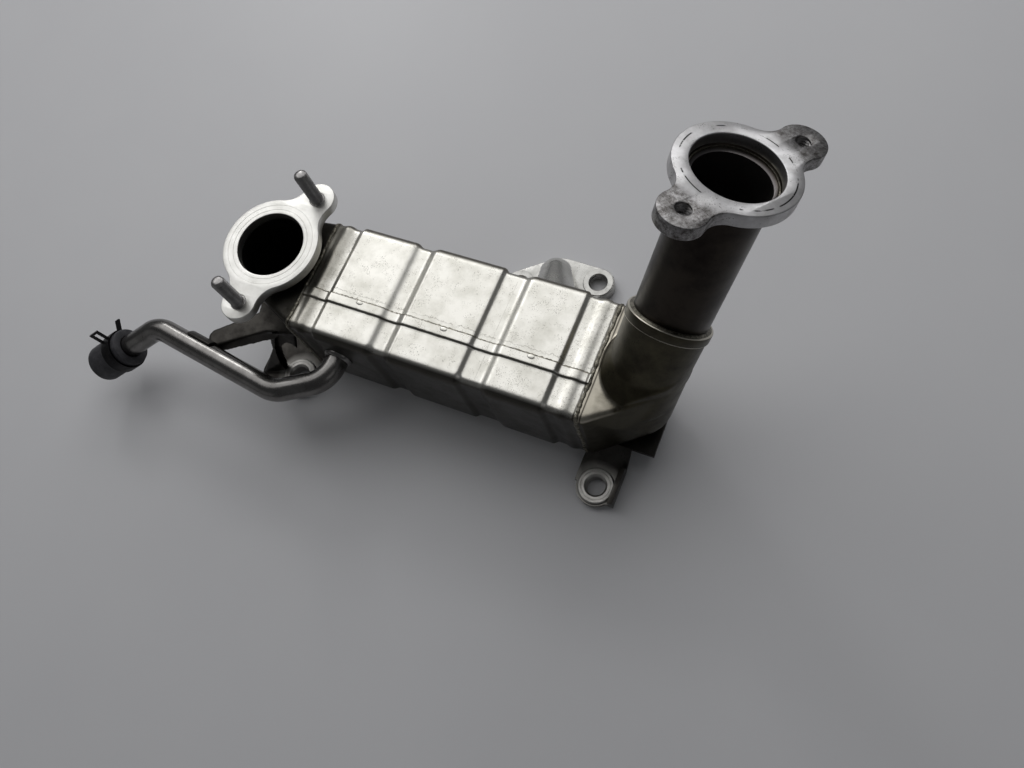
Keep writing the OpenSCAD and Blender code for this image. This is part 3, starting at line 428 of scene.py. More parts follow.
def pressed(shapes, grain, cut, bore=None, ease_steps=14):
    """Closed skins run together and eased like a deep pressing, the softer the more steps. The result is cut
    off on a plane, given by a point and the direction of the waste, and opened by a bore, given by its start,
    its direction and its radius."""
    rough = joined("rough", shapes)
    holder = bpy.data.objects.new("rough", rough)
    bpy.context.scene.collection.objects.link(holder)
    remesh = holder.modifiers.new("even", "REMESH")
    remesh.mode, remesh.voxel_size = "VOXEL", grain * MM
    ease = holder.modifiers.new("ease", "SMOOTH")
    ease.factor, ease.iterations = 0.5, ease_steps
    ready = holder.evaluated_get(bpy.context.evaluated_depsgraph_get())
    shape = bmesh.new()
    shape.from_mesh(ready.to_mesh())
    ready.to_mesh_clear()
    bpy.data.objects.remove(holder)
    bpy.data.meshes.remove(rough)
    bmesh.ops.bisect_plane(shape, geom=shape.verts[:] + shape.edges[:] + shape.faces[:],
                           plane_co=Vector(cut[0]) * MM, plane_no=cut[1], clear_outer=True)
    if bore:
        start, way, radius = Vector(bore[0]) * MM, Vector(bore[1]), bore[2] * MM
        waste = [v for v in shape.verts if (v.co - start).dot(way) > 0
                 and (v.co - start - way * (v.co - start).dot(way)).length < radius]
        bmesh.ops.delete(shape, geom=waste, context="VERTS")
    return shape


def mouth(x, shrink):
    """Points of the collar's outline at x, drawn in by shrink."""
    middle_y, middle_z = sum(CASING_Y) / 2, sum(CASING_Z) / 2
    half_w = (CASING_Y[1] - CASING_Y[0]) / 2 - PANEL_RAISE
    half_h = (CASING_Z[1] - CASING_Z[0]) / 2 - PANEL_RAISE
    return [(x, middle_y + (y - middle_y) * (half_w - shrink) / half_w,
             middle_z + (z - middle_z) * (half_h - shrink) / half_h) for y, z in collar_outline(1.5)]


def ball(centre, radius):
    """Points all over a ball."""
    centre = Vector(centre)
    return [centre + radius * Vector((math.cos(a) * math.cos(b), math.sin(a) * math.cos(b), math.sin(b)))
            for a in np.radians(np.arange(0, 360, 5)) for b in np.radians(np.arange(-90, 91, 6))]


def ring(centre, way, radius, steps=72):
    """Points of a circle square to way."""
    turn = aimed((0, 0, 0), way).to_3x3()
    return [Vector(centre) + turn @ Vector((radius * math.cos(a), radius * math.sin(a), 0))
            for a in np.linspace(0, 2 * math.pi, steps, endpoint=False)]


def level_ring(z, radius, outline=None, shift=(0, 0, 0)):
    """A level cut through the leaning socket at height z, trimmed to an outline of (way out, distance)."""
    centre = ELBOW_FOOT + PIPE_AXIS * (z - ELBOW_FOOT.z) / PIPE_AXIS.z + Vector(shift)
    along = Vector((PIPE_AXIS.x, PIPE_AXIS.y, 0)).normalized()
    beside = Vector((-along.y, along.x, 0))
    points = [centre + along * radius * math.cos(a) / PIPE_AXIS.z + beside * radius * math.sin(a)
              for a in np.linspace(0, 2 * math.pi, 120, endpoint=False)]
    if outline:
        for i, p in enumerate(points):
            ray = p - centre
            kept = [(far - centre.dot(out)) / ray.dot(out) for out, far in outline if ray.dot(out) > 0.1]
            points[i] = centre + ray * min([1.0] + kept)
    return points


def on_lip(radius, height):
    """A ring about the pipe that lies height above the slanting lip."""
    turn, points = aimed((0, 0, 0), PIPE_AXIS).to_3x3(), []
    for a in np.linspace(0, 2 * math.pi, 120, endpoint=False):
        up = LIP_AT + height - math.tan(LIP_TILT) * radius * math.cos(a - LIP_TURN)
        points.append(ELBOW_FOOT + turn @ Vector((radius * math.cos(a), radius * math.sin(a), up)))
    return points


def elbow_hull(shrink):
    """The drawn body from the casing's end to the foot of the socket, with its flat top."""
    r, fall = ELBOW_R - shrink, ELBOW_DEPTH - ELBOW_R
    return wrapped(mouth(CASING_X[1] - 5, shrink) + mouth(CASING_X[1] + 4, shrink)
                   + level_ring(ELBOW_TOP - shrink, r) + ball(ELBOW_FOOT - Vector((0, 0, fall)), r))


def lip_ring(name, profile):
    """A ring of the closed profile of (radius, height over the lip) points."""
    points = [p for radius, height in profile for p in on_lip(radius, height)]
    return mesh_of(name, points, weave(len(profile), 120, rows_closed=True))


corner_y = (CASING_Y[0] + EDGE_R, CASING_Y[1] - EDGE_R)
foot_print = [Vector((CASING_X[1] + out, y, 0)) for out in (-2, 4) for y in corner_y]
foot_print += [Vector((p.x, p.y, 0)) for p in level_ring(ELBOW_TOP, ELBOW_R)]
order = convex_hull_2d([p.xy for p in foot_print])
outline = []
for i, here in enumerate(order):
    edge = foot_print[order[(i + 1) % len(order)]] - foot_print[here]
    out = Vector((edge.y, -edge.x, 0)).normalized()
    outline.append((out, foot_print[here].dot(out)))
flare = [level_ring(ELBOW_TOP - 4, ELBOW_R + FLARE, outline, FLARE_SHIFT)]
for t in np.linspace(0, 1, 10):
    left_over = (1 - t) ** 1.4
    flare.append(level_ring(ELBOW_TOP + FLARE_H * t, ELBOW_R + FLARE * left_over, outline,
                            FLARE_SHIFT * left_over))
socket = [level_ring(ELBOW_TOP - 20, ELBOW_R), on_lip(ELBOW_R + 0.1, -LIP_H / 2)]
outer = pressed([elbow_hull(0), stacked(flare), stacked(socket)], 0.8, ((CASING_X[1], 0, 0), (-1, 0, 0)),
                (ELBOW_FOOT + 20 * PIPE_AXIS, PIPE_AXIS, 20.3), 6)
inner = pressed([elbow_hull(ELBOW_WALL)], 0.9, ((CASING_X[1], 0, 0), (-1, 0, 0)),
                (ELBOW_FOOT + 8 * PIPE_AXIS, PIPE_AXIS, GAS_R))
bmesh.ops.reverse_faces(inner, faces=inner.faces)
lip = bmesh.new()
lip.from_mesh(lip_ring("lip", [
    (20.8, -LIP_H - 0.7), (21.2, -LIP_H - 0.55), (21.7, -LIP_H - 0.1), (21.9, -LIP_H + 0.5), (21.9, -0.9),
    (21.75, -0.35), (21.4, -0.05), (20.6, 0.0), (19.35, -0.2), (19.1, -0.6), (19.1, -18.0), (GAS_R, -18.0),
    (GAS_R, -30.0), (20.4, -30.0)]))

# Heat-tinted stainless: an olive brown oxide film over satin metal, blotched where the heat was uneven.
# The flat top beside the casing carries a painted highlight, the edges of the lip carry painted highlights,
# and a line of painted shade runs beside the weld at the casing's end.
tinted_steel, tree, shader, place, colour = steel_finish(
    "heat_tinted_stainless", "#4b4739", "#302c25", patch_mm=16, rough=(0.32, 0.46), grain_mm=0.8,
    bump=0.15, speck="#26231d", speck_mm=1.2, speck_share=0.05)
where = add(tree, "ShaderNodeSeparateXYZ", {"Vector": place}).node.outputs
# Painted highlight: the flat top beside the casing is made much lighter.
edge = add(tree, "ShaderNodeTexNoise", {"Scale": cells(7), "Detail": 4.0, "Vector": place})
reach = add(tree, "ShaderNodeMapRange",
            {"To Min": (CASING_X[1] - 2) * MM, "To Max": (CASING_X[1] + 20) * MM, "Value": edge})
past = add(tree, "ShaderNodeMath", {"operation": "SUBTRACT", 0: where["X"], 1: reach})
near_casing = add(tree, "ShaderNodeMapRange",
           {"From Min": 12 * MM, "From Max": -4 * MM, "To Max": 0.8, "Value": past})
high = add(tree, "ShaderNodeMapRange",
           {"From Min": (ELBOW_TOP - 3.6) * MM, "From Max": (ELBOW_TOP - 2) * MM, "Value": where["Z"]})
painted_top_highlight = add(tree, "ShaderNodeMath", {"operation": "MULTIPLY", 0: near_casing, 1: high})
below = add(tree, "ShaderNodeMapRange",
            {"From Min": (ELBOW_TOP + 1.4) * MM, "From Max": (ELBOW_TOP + 0.5) * MM, "Value": where["Z"]})
painted_top_highlight = add(tree, "ShaderNodeMath", {"operation": "MULTIPLY", 0: painted_top_highlight, 1: below})
colour = add(tree, "ShaderNodeMix", {"data_type": "RGBA", 0: painted_top_highlight, 6: colour, 7: linear("#c2bcae")})
# Painted shade: a dark line beside the weld at the casing's end.
off = add(tree, "ShaderNodeMath",
          {"operation": "SUBTRACT", 0: where["X"], 1: (CASING_X[1] + 2.6) * MM})
far = add(tree, "ShaderNodeMath", {"operation": "ABSOLUTE", 0: off})
painted_weld_shade = add(tree, "ShaderNodeMapRange",
          {"From Min": 0.6 * MM, "From Max": 0.25 * MM, "To Max": 0.8, "Value": far})
colour = add(tree, "ShaderNodeMix", {"data_type": "RGBA", 0: painted_weld_shade, 6: colour, 7: linear("#2a2722")})
# Painted highlights: two light lines along the edges of the lip.
slant = aimed((0, 0, 0), PIPE_AXIS).to_3x3() @ Vector(
    (math.sin(LIP_TILT) * math.cos(LIP_TURN), math.sin(LIP_TILT) * math.sin(LIP_TURN), math.cos(LIP_TILT)))
height = add(tree, "ShaderNodeVectorMath", {"operation": "DOT_PRODUCT", 0: place, 1: slant})
for down in (0.1, LIP_H + 0.1):
    level = slant.dot(ELBOW_FOOT + (LIP_AT - down) * PIPE_AXIS) * MM
    off = add(tree, "ShaderNodeMath", {"operation": "SUBTRACT", 0: height, 1: level})
    far = add(tree, "ShaderNodeMath", {"operation": "ABSOLUTE", 0: off})
    lip_edge_highlight = add(tree, "ShaderNodeMapRange",
               {"From Min": 0.55 * MM, "From Max": 0.2 * MM, "To Max": 0.9, "Value": far})
    colour = add(tree, "ShaderNodeMix", {"data_type": "RGBA", 0: lip_edge_highlight, 6: colour, 7: linear("#d6d1c4")})
tree.links.new(colour, shader.inputs["Base Color"])
put(joined("elbow_skin", [outer, inner, lip]), tinted_steel, ["inlet_elbow"])
profile = [(18.95, 1.1), (19.5, 0.95), (20.2, 0.45), (20.8, 0.05), (20.4, -0.35), (18.95, -0.35)]
put(lip_ring("socket_weld", profile), weld_metal, (), 50)


# Inlet pipe
# A length of drawn stainless pipe, welded into the socket at its foot and into the flange at its head.
# It has taken a darker tint than the pressing.

# Dark heat-tinted pipe: nearly black brown and a little blotched, with a grey film from the gas on the wall
# inside.
pipe_steel, tree, shader, place, colour = steel_finish(
    "dark_tinted_drawn_pipe", "#35302b", "#1f1b1a", patch_mm=20, rough=(0.3, 0.44), grain_mm=0.7,
    bump=0.12, speck="#1a1716", speck_mm=1.4, speck_share=0.02)


def off_axis(tree, place, base):
    """The place as seen from a base, and its distance from the base's axis."""
    place = add(tree, "ShaderNodeMapping",
                {"vector_type": "TEXTURE", "Location": base.translation, "Rotation": base.to_euler(),
                 "Vector": place})
    flat = add(tree, "ShaderNodeVectorMath", {"operation": "MULTIPLY", 0: place, 1: (1, 1, 0)})
    radius = add(tree, "ShaderNodeVectorMath", {"operation": "LENGTH", 0: flat})
    return place, radius


radius = off_axis(tree, place, aimed(ELBOW_FOOT, PIPE_AXIS))[1]
within = add(tree, "ShaderNodeMapRange", {"From Min": 18.9 * MM, "From Max": 17.6 * MM, "Value": radius})
colour = add(tree, "ShaderNodeMix", {"data_type": "RGBA", 0: within, 6: colour, 7: linear("#747070")})
tree.links.new(colour, shader.inputs["Base Color"])
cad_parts["inlet_pipe"].data.materials.clear()
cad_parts["inlet_pipe"].data.materials.append(pipe_steel)


# Inlet flange
# A thick steel flange with two tapped ears, turned flat on its face and welded to the pipe behind and inside.
# A gasket has left a broken dark ring on the face, and the ears have rusted under the bolt heads.
INLET_FACE = ELBOW_FOOT + 161.3 * PIPE_AXIS
INLET_T, INLET_BORE_R, INLET_RING_R, INLET_EAR_R, INLET_BLEND_R = 6.5, 20.0, 27.3, 10.7, 11.0
INLET_HOLE_R, INLET_THREAD = 3.4, 1.25
INLET_LINE = np.array([math.cos(math.radians(6)), math.sin(math.radians(6))])
INLET_MID = 4.3 * np.array([INLET_LINE[1], -INLET_LINE[0]])
INLET_HOLES = [INLET_MID - 36.5 * INLET_LINE, INLET_MID + 36.5 * INLET_LINE]


def bearing(start, end):
    """Direction from one point to another, in degrees."""
    return math.degrees(math.atan2(end[1] - start[1], end[0] - start[0]))


def bow(centre, radius, from_deg, to_deg, way):
    """An arc from one bearing to another, turning left for way 1 and right for way -1."""
    sweep = way * (way * (to_deg - from_deg) % 360)
    return arc(centre, radius, from_deg, from_deg + sweep, max(2, math.ceil(abs(sweep) / 3)))


def eared(ring_r, ears, ear_r, blend_r):
    """Outline of a round flange with ears, each blended to the round part by two hollow arcs."""
    def blend(ear, side):
        a, b, c = ring_r + blend_r, ear_r + blend_r, np.linalg.norm(ear)
        along = (a * a - b * b + c * c) / (2 * c)
        out = ear / c
        return out * along + side * math.sqrt(a * a - along * along) * np.array([-out[1], out[0]])
    parts, centre = [], np.zeros(2)
    for i, ear in enumerate(ears):
        first, second, after = blend(ear, -1), blend(ear, 1), blend(ears[(i + 1) % len(ears)], -1)
        parts += [bow(first, blend_r, bearing(first, centre), bearing(first, ear), -1),
                  bow(ear, ear_r, bearing(ear, first), bearing(ear, second), 1),
                  bow(second, blend_r, bearing(second, ear), bearing(second, centre), -1),
                  bow(centre, ring_r, bearing(centre, second), bearing(centre, after), 1)]
    return np.vstack(parts)


def circle(centre, radius, steps=96):
    """A hole's outline, which runs to the right."""
    return arc(centre, radius, 360, 0, steps)


def plate(outline, holes, low, high, ease, face_rings=(), thread=None):
    """Points and faces of a flat plate with eased rims. The first hole may carry turned rings on the face
    above, as (radius, depth), and thread = (pitch, depth, first hole that has it)."""
    points, faces, rims, quarter = [], [], ([], []), np.radians((0, 30, 60, 90))
    for number, loop in enumerate([outline] + list(holes)):
        ahead = np.roll(loop, -1, axis=0) - np.roll(loop, 1, axis=0)
        ahead /= np.linalg.norm(ahead, axis=1)[:, None]
        out = np.column_stack([ahead[:, 1], -ahead[:, 0]])
        rows = [(ease * (1 - math.sin(t)), low + ease * (1 - math.cos(t))) for t in quarter]
        if thread and number >= thread[2]:
            rows += [(0, z) for z in np.arange(low + ease, high - ease, thread[0] / 8)[1:]]
        rows += [(ease * (1 - math.sin(t)), high - ease * (1 - math.cos(t))) for t in quarter[::-1]]
        start = len(points)
        for inset, z in rows:
            groove = np.zeros(len(loop))
            if thread and number >= thread[2] and low + 2 * ease < z < high - 2 * ease:
                turn = np.arctan2(out[:, 1], out[:, 0]) / (2 * math.pi)
                groove = thread[1] * (1 - 2 * np.abs((z / thread[0] + turn) % 1 - 0.5))
            flat = loop - out * (inset + groove)[:, None]
            points += [(x, y, z) for x, y in flat]
        count = len(rows)
        if number == 1:
            radius = np.linalg.norm(loop[0])
            for r, depth in face_rings:
                points += [(x * r / radius, y * r / radius, high - depth) for x, y in loop]
                count += 1
        faces += weave(count, len(loop), first=start)
        rims[0].append(range(start, start + len(loop)))
        rims[1].append(range(start + (count - 1) * len(loop), start + count * len(loop)))
    for rim in rims:
        order = [i for loop in rim for i in loop]
        flat = tessellate_polygon([[Vector(points[i]) for i in loop] for loop in rim])
        faces += [tuple(order[i] for i in three) for three in flat]
    return points, faces


def turned(name, profile, steps=96):
    """A ring of the closed profile of (radius, height) points, about the Z axis."""
    points = [(r * math.cos(a), r * math.sin(a), z) for r, z in profile
              for a in np.linspace(0, 2 * math.pi, steps, endpoint=False)]
    return mesh_of(name, points, weave(len(profile), steps, rows_closed=True))


# Machined and stained steel: a pale turned face with a broken gasket print, and rust on the ears.
inlet_steel, tree, shader, place, colour = steel_finish(
    "machined_stained_steel", "#d0cfd0", "#b2b1b1", patch_mm=9, rough=(0.32, 0.44), grain_mm=0.6,
    bump=0.15, speck="#55524e", speck_mm=0.9, speck_share=0.06)
inlet_place = aimed(INLET_FACE - INLET_T * PIPE_AXIS, PIPE_AXIS)
place, radius = off_axis(tree, place, inlet_place)
off_print = add(tree, "ShaderNodeMath", {"operation": "SUBTRACT", 0: radius, 1: 24.3 * MM})
print_gap = add(tree, "ShaderNodeMath", {"operation": "ABSOLUTE", 0: off_print})
printed = add(tree, "ShaderNodeMapRange", {"From Min": 0.42 * MM, "From Max": 0.2 * MM, "Value": print_gap})
breaks = add(tree, "ShaderNodeTexNoise", {"Scale": cells(9), "Detail": 4.0, "Vector": place})
broken = add(tree, "ShaderNodeMapRange", {"From Min": 0.5, "From Max": 0.54, "Value": breaks})
print_left = add(tree, "ShaderNodeMath", {"operation": "MULTIPLY", 0: printed, 1: broken})
colour = add(tree, "ShaderNodeMix", {"data_type": "RGBA", 0: print_left, 6: colour, 7: linear("#2b2928")})
on_ears = add(tree, "ShaderNodeMapRange", {"From Min": 26.5 * MM, "From Max": 31 * MM, "Value": radius})
crust = add(tree, "ShaderNodeTexNoise",
            {"Scale": cells(2.6), "Detail": 7.0, "Roughness": 0.8, "Vector": place})
rust = add(tree, "ShaderNodeMapRange",
           {"From Min": 0.3, "From Max": 0.62, "To Min": 0.25, "To Max": 0.95, "Value": crust})
rusted = add(tree, "ShaderNodeMath", {"operation": "MULTIPLY", 0: on_ears, 1: rust})
colour = add(tree, "ShaderNodeMix", {"data_type": "RGBA", 0: rusted, 6: colour, 7: linear("#3a3531")})
tree.links.new(colour, shader.inputs["Base Color"])

points, faces = plate(
    eared(INLET_RING_R, INLET_HOLES, INLET_EAR_R, INLET_BLEND_R),
    [circle((0, 0), INLET_BORE_R)] + [circle(p, INLET_HOLE_R, 48) for p in INLET_HOLES],
    0, INLET_T, 0.45, thread=(INLET_THREAD, 0.6, 2))
put(mesh_of("inlet_flange_plate", points, faces), inlet_steel,
    ["inlet_flange"], 35, inlet_place)
profile = [(19.05, -4.0), (19.8, -4.0), (20.4, -3.4), (21.3, -1.6), (22.4, -0.3), (23.2, 0.3), (19.05, 0.5)]
put(turned("inlet_flange_weld", profile), weld_metal, (), 50, inlet_place)
profile = [(17.55, -1.5), (19.98, -1.5), (19.98, 1.3), (19.5, 0.3), (18.8, -0.5), (18.0, -1.0), (17.55, -1.2)]
put(turned("inlet_bore_weld", profile), pipe_steel, (), 50, inlet_place)


# Outlet bonnet
# A stainless pressing that turns the casing's left end up into the round outlet, with a short neck. It is
# welded to the casing all round, and its neck is welded under the flange.
OUTLET_X, OUTLET_Y, OUTLET_Z = -146.3, -58.7, 82.0
BONNET_R, BONNET_WALL, NECK_R, OUTLET_BORE_R = 25.5, 1.8, 22.1, 20.3
BONNET_LOW, BONNET_TOP, FLOOR_EASE = 14.0, 70.0, 12.0
OUTLET_T = 6.0


def bonnet_skin(shrink):
    """The pressing's outside, or its inside when drawn in by its wall."""
    up = Vector((0, 0, 1))
    points = mouth(CASING_X[0] + 5, shrink) + mouth(CASING_X[0] - 1, shrink)
    for z, r in ((BONNET_TOP - shrink, BONNET_R - shrink), (BONNET_LOW + FLOOR_EASE, BONNET_R - shrink),
                 (BONNET_LOW + 5, BONNET_R - 4 - shrink), (BONNET_LOW + shrink, BONNET_R - FLOOR_EASE)):
        points += ring((OUTLET_X, OUTLET_Y, z), up, r)
    return pressed([wrapped(points)], 0.9, ((CASING_X[0], 0, 0), (1, 0, 0)),
                   ((OUTLET_X, OUTLET_Y, BONNET_TOP - 4), up, OUTLET_BORE_R + 0.4))


# Stainless pressing, darkened grey as painted shade for the flange's shadow it lies in, over satin metal,
# a little uneven.
shaded_pressing_steel = steel_finish(
    "shade_darkened_stainless_pressing", "#4c4a46", "#35332f", patch_mm=14, rough=(0.36, 0.5), grain_mm=0.8,
    bump=0.15, speck="#211f1c", speck_mm=1.2, speck_share=0.05)[0]
inner = bonnet_skin(BONNET_WALL)
bmesh.ops.reverse_faces(inner, faces=inner.faces)
put(joined("bonnet_skin", [bonnet_skin(0), inner]), shaded_pressing_steel, ["outlet_bonnet"])
profile = [(OUTLET_BORE_R, 66.0), (22.6, 69.2), (24.0, 69.9), (22.8, 70.4), (NECK_R, 71.4), (NECK_R, 75.2),
           (22.6, 76.0), (OUTLET_BORE_R, 76.0)]
put(turned("bonnet_neck", profile), shaded_pressing_steel, (), 50,
    Matrix.Translation(Vector((OUTLET_X, OUTLET_Y, 0)) * MM))


# Outlet flange
# A steel flange with two ears, turned bright on its face, with a seat and a fine tool line round the bore.
# It sits on the bonnet's neck, and each ear is bored for a stud.
OUTLET_RING_R, OUTLET_EAR_R, OUTLET_BLEND_R = 29.6, 10.6, 14.0
STUD_LINE = np.array([math.cos(math.radians(79.1)), math.sin(math.radians(79.1))])
STUD_MID = 7.2 * np.array([STUD_LINE[1], -STUD_LINE[0]]) - 0.8 * STUD_LINE
STUDS = [STUD_MID - 37.85 * STUD_LINE, STUD_MID + 37.85 * STUD_LINE]
STUD_R, STUD_ROOT_R, STUD_OUT = 4.0, 4.5, 25.5

# Bright turned steel: nearly white and even, with faint blotches and tool rings about the bore, which are
# drawn as coarse as they need to show.
outlet_steel, tree, shader, place, colour = steel_finish(
    "bright_turned_steel", "#dddcd8", "#cfcec9", patch_mm=14, rough=(0.34, 0.46), grain_mm=0.5,
    bump=0.1, speck="#9a9892", speck_mm=0.8, speck_share=0.0)
outlet_place = Matrix.Translation(Vector((OUTLET_X, OUTLET_Y, OUTLET_Z - OUTLET_T)) * MM)
radius = off_axis(tree, place, outlet_place)[1]
tool = add(tree, "ShaderNodeMath", {"operation": "MULTIPLY", 0: radius, 1: 2 * math.pi * cells(0.45)})
lines = add(tree, "ShaderNodeMath", {"operation": "SINE", 0: tool})
relief = add(tree, "ShaderNodeBump", {"Strength": 0.1, "Distance": 0.05 * MM, "Height": lines})
tree.links.new(relief, shader.inputs["Normal"])

rings = [(21.6, 0.0), (22.6, 0.0), (22.72, 0.22), (22.98, 0.22), (23.1, 0.05), (25.9, 0.05), (25.98, 0.16),
         (26.1, 0.16), (26.18, 0.0), (27.0, 0.0)]
points, faces = plate(
    eared(OUTLET_RING_R, STUDS, OUTLET_EAR_R, OUTLET_BLEND_R),
    [circle((0, 0), OUTLET_BORE_R)] + [circle(p, STUD_ROOT_R + 0.05, 48) for p in STUDS],
    0, OUTLET_T, 0.5, rings)
put(mesh_of("outlet_flange_plate", points, faces), outlet_steel,
    ["outlet_flange"], 25, outlet_place)


# Outlet studs
# Two M8 steel studs, pressed into the flange's ears by a plain root. Their threads are rolled and run out
# above the flange, and their ends are domed.
THREAD_PITCH, THREAD_DEPTH = 1.25, 0.7

# Oiled rolled steel: mid grey with dark specks of oil, and a gloss that lights up the thread's crests.
stud_steel = steel_finish(
    "oiled_rolled_steel", "#a4a2a1", "#7d7b7b", patch_mm=5, rough=(0.26, 0.4), grain_mm=0.5,
    bump=0.12, speck="#3c3b3c", speck_mm=1.0, speck_share=0.05)[0]


def stud(name, spot, node):
    """A stud at a spot on the flange: root, fading thread and domed end."""
    top, around = OUTLET_T + STUD_OUT, 48
    turns = np.linspace(0, 2 * math.pi, around, endpoint=False)
    rows = [(0.01, 0.0), (STUD_ROOT_R, 0.0), (STUD_ROOT_R, OUTLET_T - 0.2), (STUD_ROOT_R - 0.2, OUTLET_T),
            (STUD_R, OUTLET_T + 0.05)]
    points = [(r * math.cos(a), r * math.sin(a), z) for r, z in rows for a in turns]
    count = len(rows)
    for z in np.arange(OUTLET_T + 0.6, top - 0.9, THREAD_PITCH / 10):
        fade = min(1, (z - OUTLET_T - 0.6) / 2.5)
        for a in turns:
            wave = 1 - 2 * abs((z / THREAD_PITCH - a / (2 * math.pi)) % 1 - 0.5)
            r = min(STUD_R - fade * THREAD_DEPTH * wave, STUD_R - (z - top + 1.6) * 0.75)
            points.append((r * math.cos(a), r * math.sin(a), z))
        count += 1
    for r, z in ((2.9, top - 0.55), (2.3, top - 0.2), (1.2, top - 0.03), (0.01, top)):
        points += [(r * math.cos(a), r * math.sin(a), z) for a in turns]
        count += 1
    where = Matrix.Translation(Vector((OUTLET_X + spot[0], OUTLET_Y + spot[1], OUTLET_Z - OUTLET_T)) * MM)
    put(mesh_of(name, points, weave(count, around)), stud_steel, [node], 60, where)


stud("threaded_stud_front", STUDS[0], "outlet_stud_front")
stud("threaded_stud_back", STUDS[1], "outlet_stud_back")


# Coolant flange and cover
# A steel flange that sits on the engine with two bolt bosses, and a thin pressed cover that leads the coolant
# from its port up into the casing's back panel.
COOLANT_T, COOLANT_RING_R, BOSS_R, BOSS_HOLE_R, BOSS_RAISE = 7.0, 18.0, 10.0, 5.5, 0.8
COOLANT_BOLT = 24.65 * np.array([math.cos(math.radians(18)), math.sin(math.radians(18))])
PORT_R, COVER_R, COVER_KNEE = 7.5, 10.5, 18.0
COVER_X, COVER_Z = (-5.0, 29.0), (18.0, 43.0)


def diamond(ring_r, boss, boss_r):
    """Outline of a round plate with two bosses, joined by straight sides."""
    a, b = bearing((0, 0), boss), math.degrees(math.acos((ring_r - boss_r) / np.linalg.norm(boss)))
    return np.vstack([bow(boss, boss_r, a - b, a + b, 1), bow((0, 0), ring_r, a + b, a + 180 - b, 1),
                      bow(-boss, boss_r, a + 180 - b, a + 180 + b, 1),
                      bow((0, 0), ring_r, a + 180 + b, a - b, 1)])


# Matt grey fitting steel: plain pale grey with a sandy grain.
fitting_steel = steel_finish(
    "matt_grey_fitting_steel", "#c4c3bf", "#a5a4a0", patch_mm=7, rough=(0.24, 0.36), grain_mm=0.7,
    bump=0.15, speck="#5c5a56", speck_mm=1.0, speck_share=0.03)[0]
points, faces = plate(
    diamond(COOLANT_RING_R, COOLANT_BOLT, BOSS_R),
    [circle((0, 0), PORT_R, 64)] + [circle(p, BOSS_HOLE_R, 64) for p in (COOLANT_BOLT, -COOLANT_BOLT)],
    0, COOLANT_T, 0.6)
put(mesh_of("coolant_flange_plate", points, faces), fitting_steel,
    ["coolant_flange"], 35)
profile = [(BOSS_HOLE_R, 5.0), (9.4, 5.0), (9.4, COOLANT_T + BOSS_RAISE - 0.3), (9.1, COOLANT_T + BOSS_RAISE),
           (BOSS_HOLE_R + 0.5, COOLANT_T + BOSS_RAISE), (BOSS_HOLE_R, COOLANT_T + BOSS_RAISE - 0.5)]
for side, label in ((1, "right"), (-1, "left")):
    put(turned(f"coolant_boss_{label}", profile, 64), fitting_steel, (), 35,
        Matrix.Translation(Vector((*(side * COOLANT_BOLT), 0)) * MM))

middle_x, middle_z = sum(COVER_X) / 2, sum(COVER_Z) / 2
half_x, half_z = (COVER_X[1] - COVER_X[0]) / 2, (COVER_Z[1] - COVER_Z[0]) / 2
lobe = [(middle_x + half_x * math.cos(a), middle_z + half_z * math.sin(a))
        for a in np.radians(np.arange(0, 360, 6))]
points = [(x, y, z) for x, z in lobe for y in (CASING_Y[1] - 4, CASING_Y[1] + 2)]
points += ball((0, 0, COVER_KNEE), COVER_R) + ring((0, 0, COOLANT_T - 3), (0, 0, 1), COVER_R)
cover = pressed([wrapped(points)], 0.7, ((0, CASING_Y[1] - 2.5, 0), (0, -1, 0)))

# Smooth pressed steel: brighter and glossier than the plate, with painted shade where the hump meets it.
cover_steel, tree, shader, place, colour = steel_finish(
    "smooth_pressed_cover_steel", "#d2d1cd", "#b4b3af", patch_mm=10, rough=(0.2, 0.3), grain_mm=0.7,
    bump=0.08, speck="#5c5a56", speck_mm=1.0, speck_share=0.03)
where = add(tree, "ShaderNodeSeparateXYZ", {"Vector": place}).node.outputs
# Painted shade: a dark band round the foot of the hump.
collar_dirt_and_hump_shade = add(tree, "ShaderNodeMapRange",
             {"From Min": (COOLANT_T + 2.4) * MM, "From Max": (COOLANT_T + 0.6) * MM, "To Max": 0.85,
              "Value": where["Z"]})
colour = add(tree, "ShaderNodeMix", {"data_type": "RGBA", 0: collar_dirt_and_hump_shade, 6: colour, 7: linear("#3d3a35")})
tree.links.new(colour, shader.inputs["Base Color"])
put(joined("cover_skin", [cover]), cover_steel, ["coolant_cover"])


# Coolant tube
# A drawn steel tube bent three times, brazed into the front panel behind a rolled bead. The saddle on the
# left bracket's arm holds it up.
TUBE_R, TUBE_WALL, TUBE_BEND_R = 7.0, 1.2, 18.0
TUBE_LAST = Vector((-0.76, -0.49, -0.43)).normalized()
TUBE_CORNERS = [Vector(p) for p in (
    (-92.5, -98.5, 48), (-92.5, -116.5, 48), (-120.5, -132.8, 48), (-214.2, -119.6, 48))]
TUBE_CORNERS.append(TUBE_CORNERS[-1] + 50 * TUBE_LAST)


def bent_line(corners, bend_r, step):
    """The tube's middle line with its bends as arcs: (point, direction) pairs."""
    found = [(corners[0], (corners[1] - corners[0]).normalized())]
    for before, at, after in zip(corners, corners[1:], corners[2:]):
        d1, d2 = (at - before).normalized(), (after - at).normalized()
        inward, sweep = (d2 - d1 * d1.dot(d2)).normalized(), d1.angle(d2)
        start, steps = at - d1 * bend_r * math.tan(sweep / 2), math.ceil(math.degrees(sweep) / step)
        for a in np.linspace(0, sweep, steps + 1):
            found.append((start + bend_r * (d1 * math.sin(a) + inward * (1 - math.cos(a))),
                          d1 * math.cos(a) + inward * math.sin(a)))
    return found + [(corners[-1], (corners[-1] - corners[-2]).normalized())]


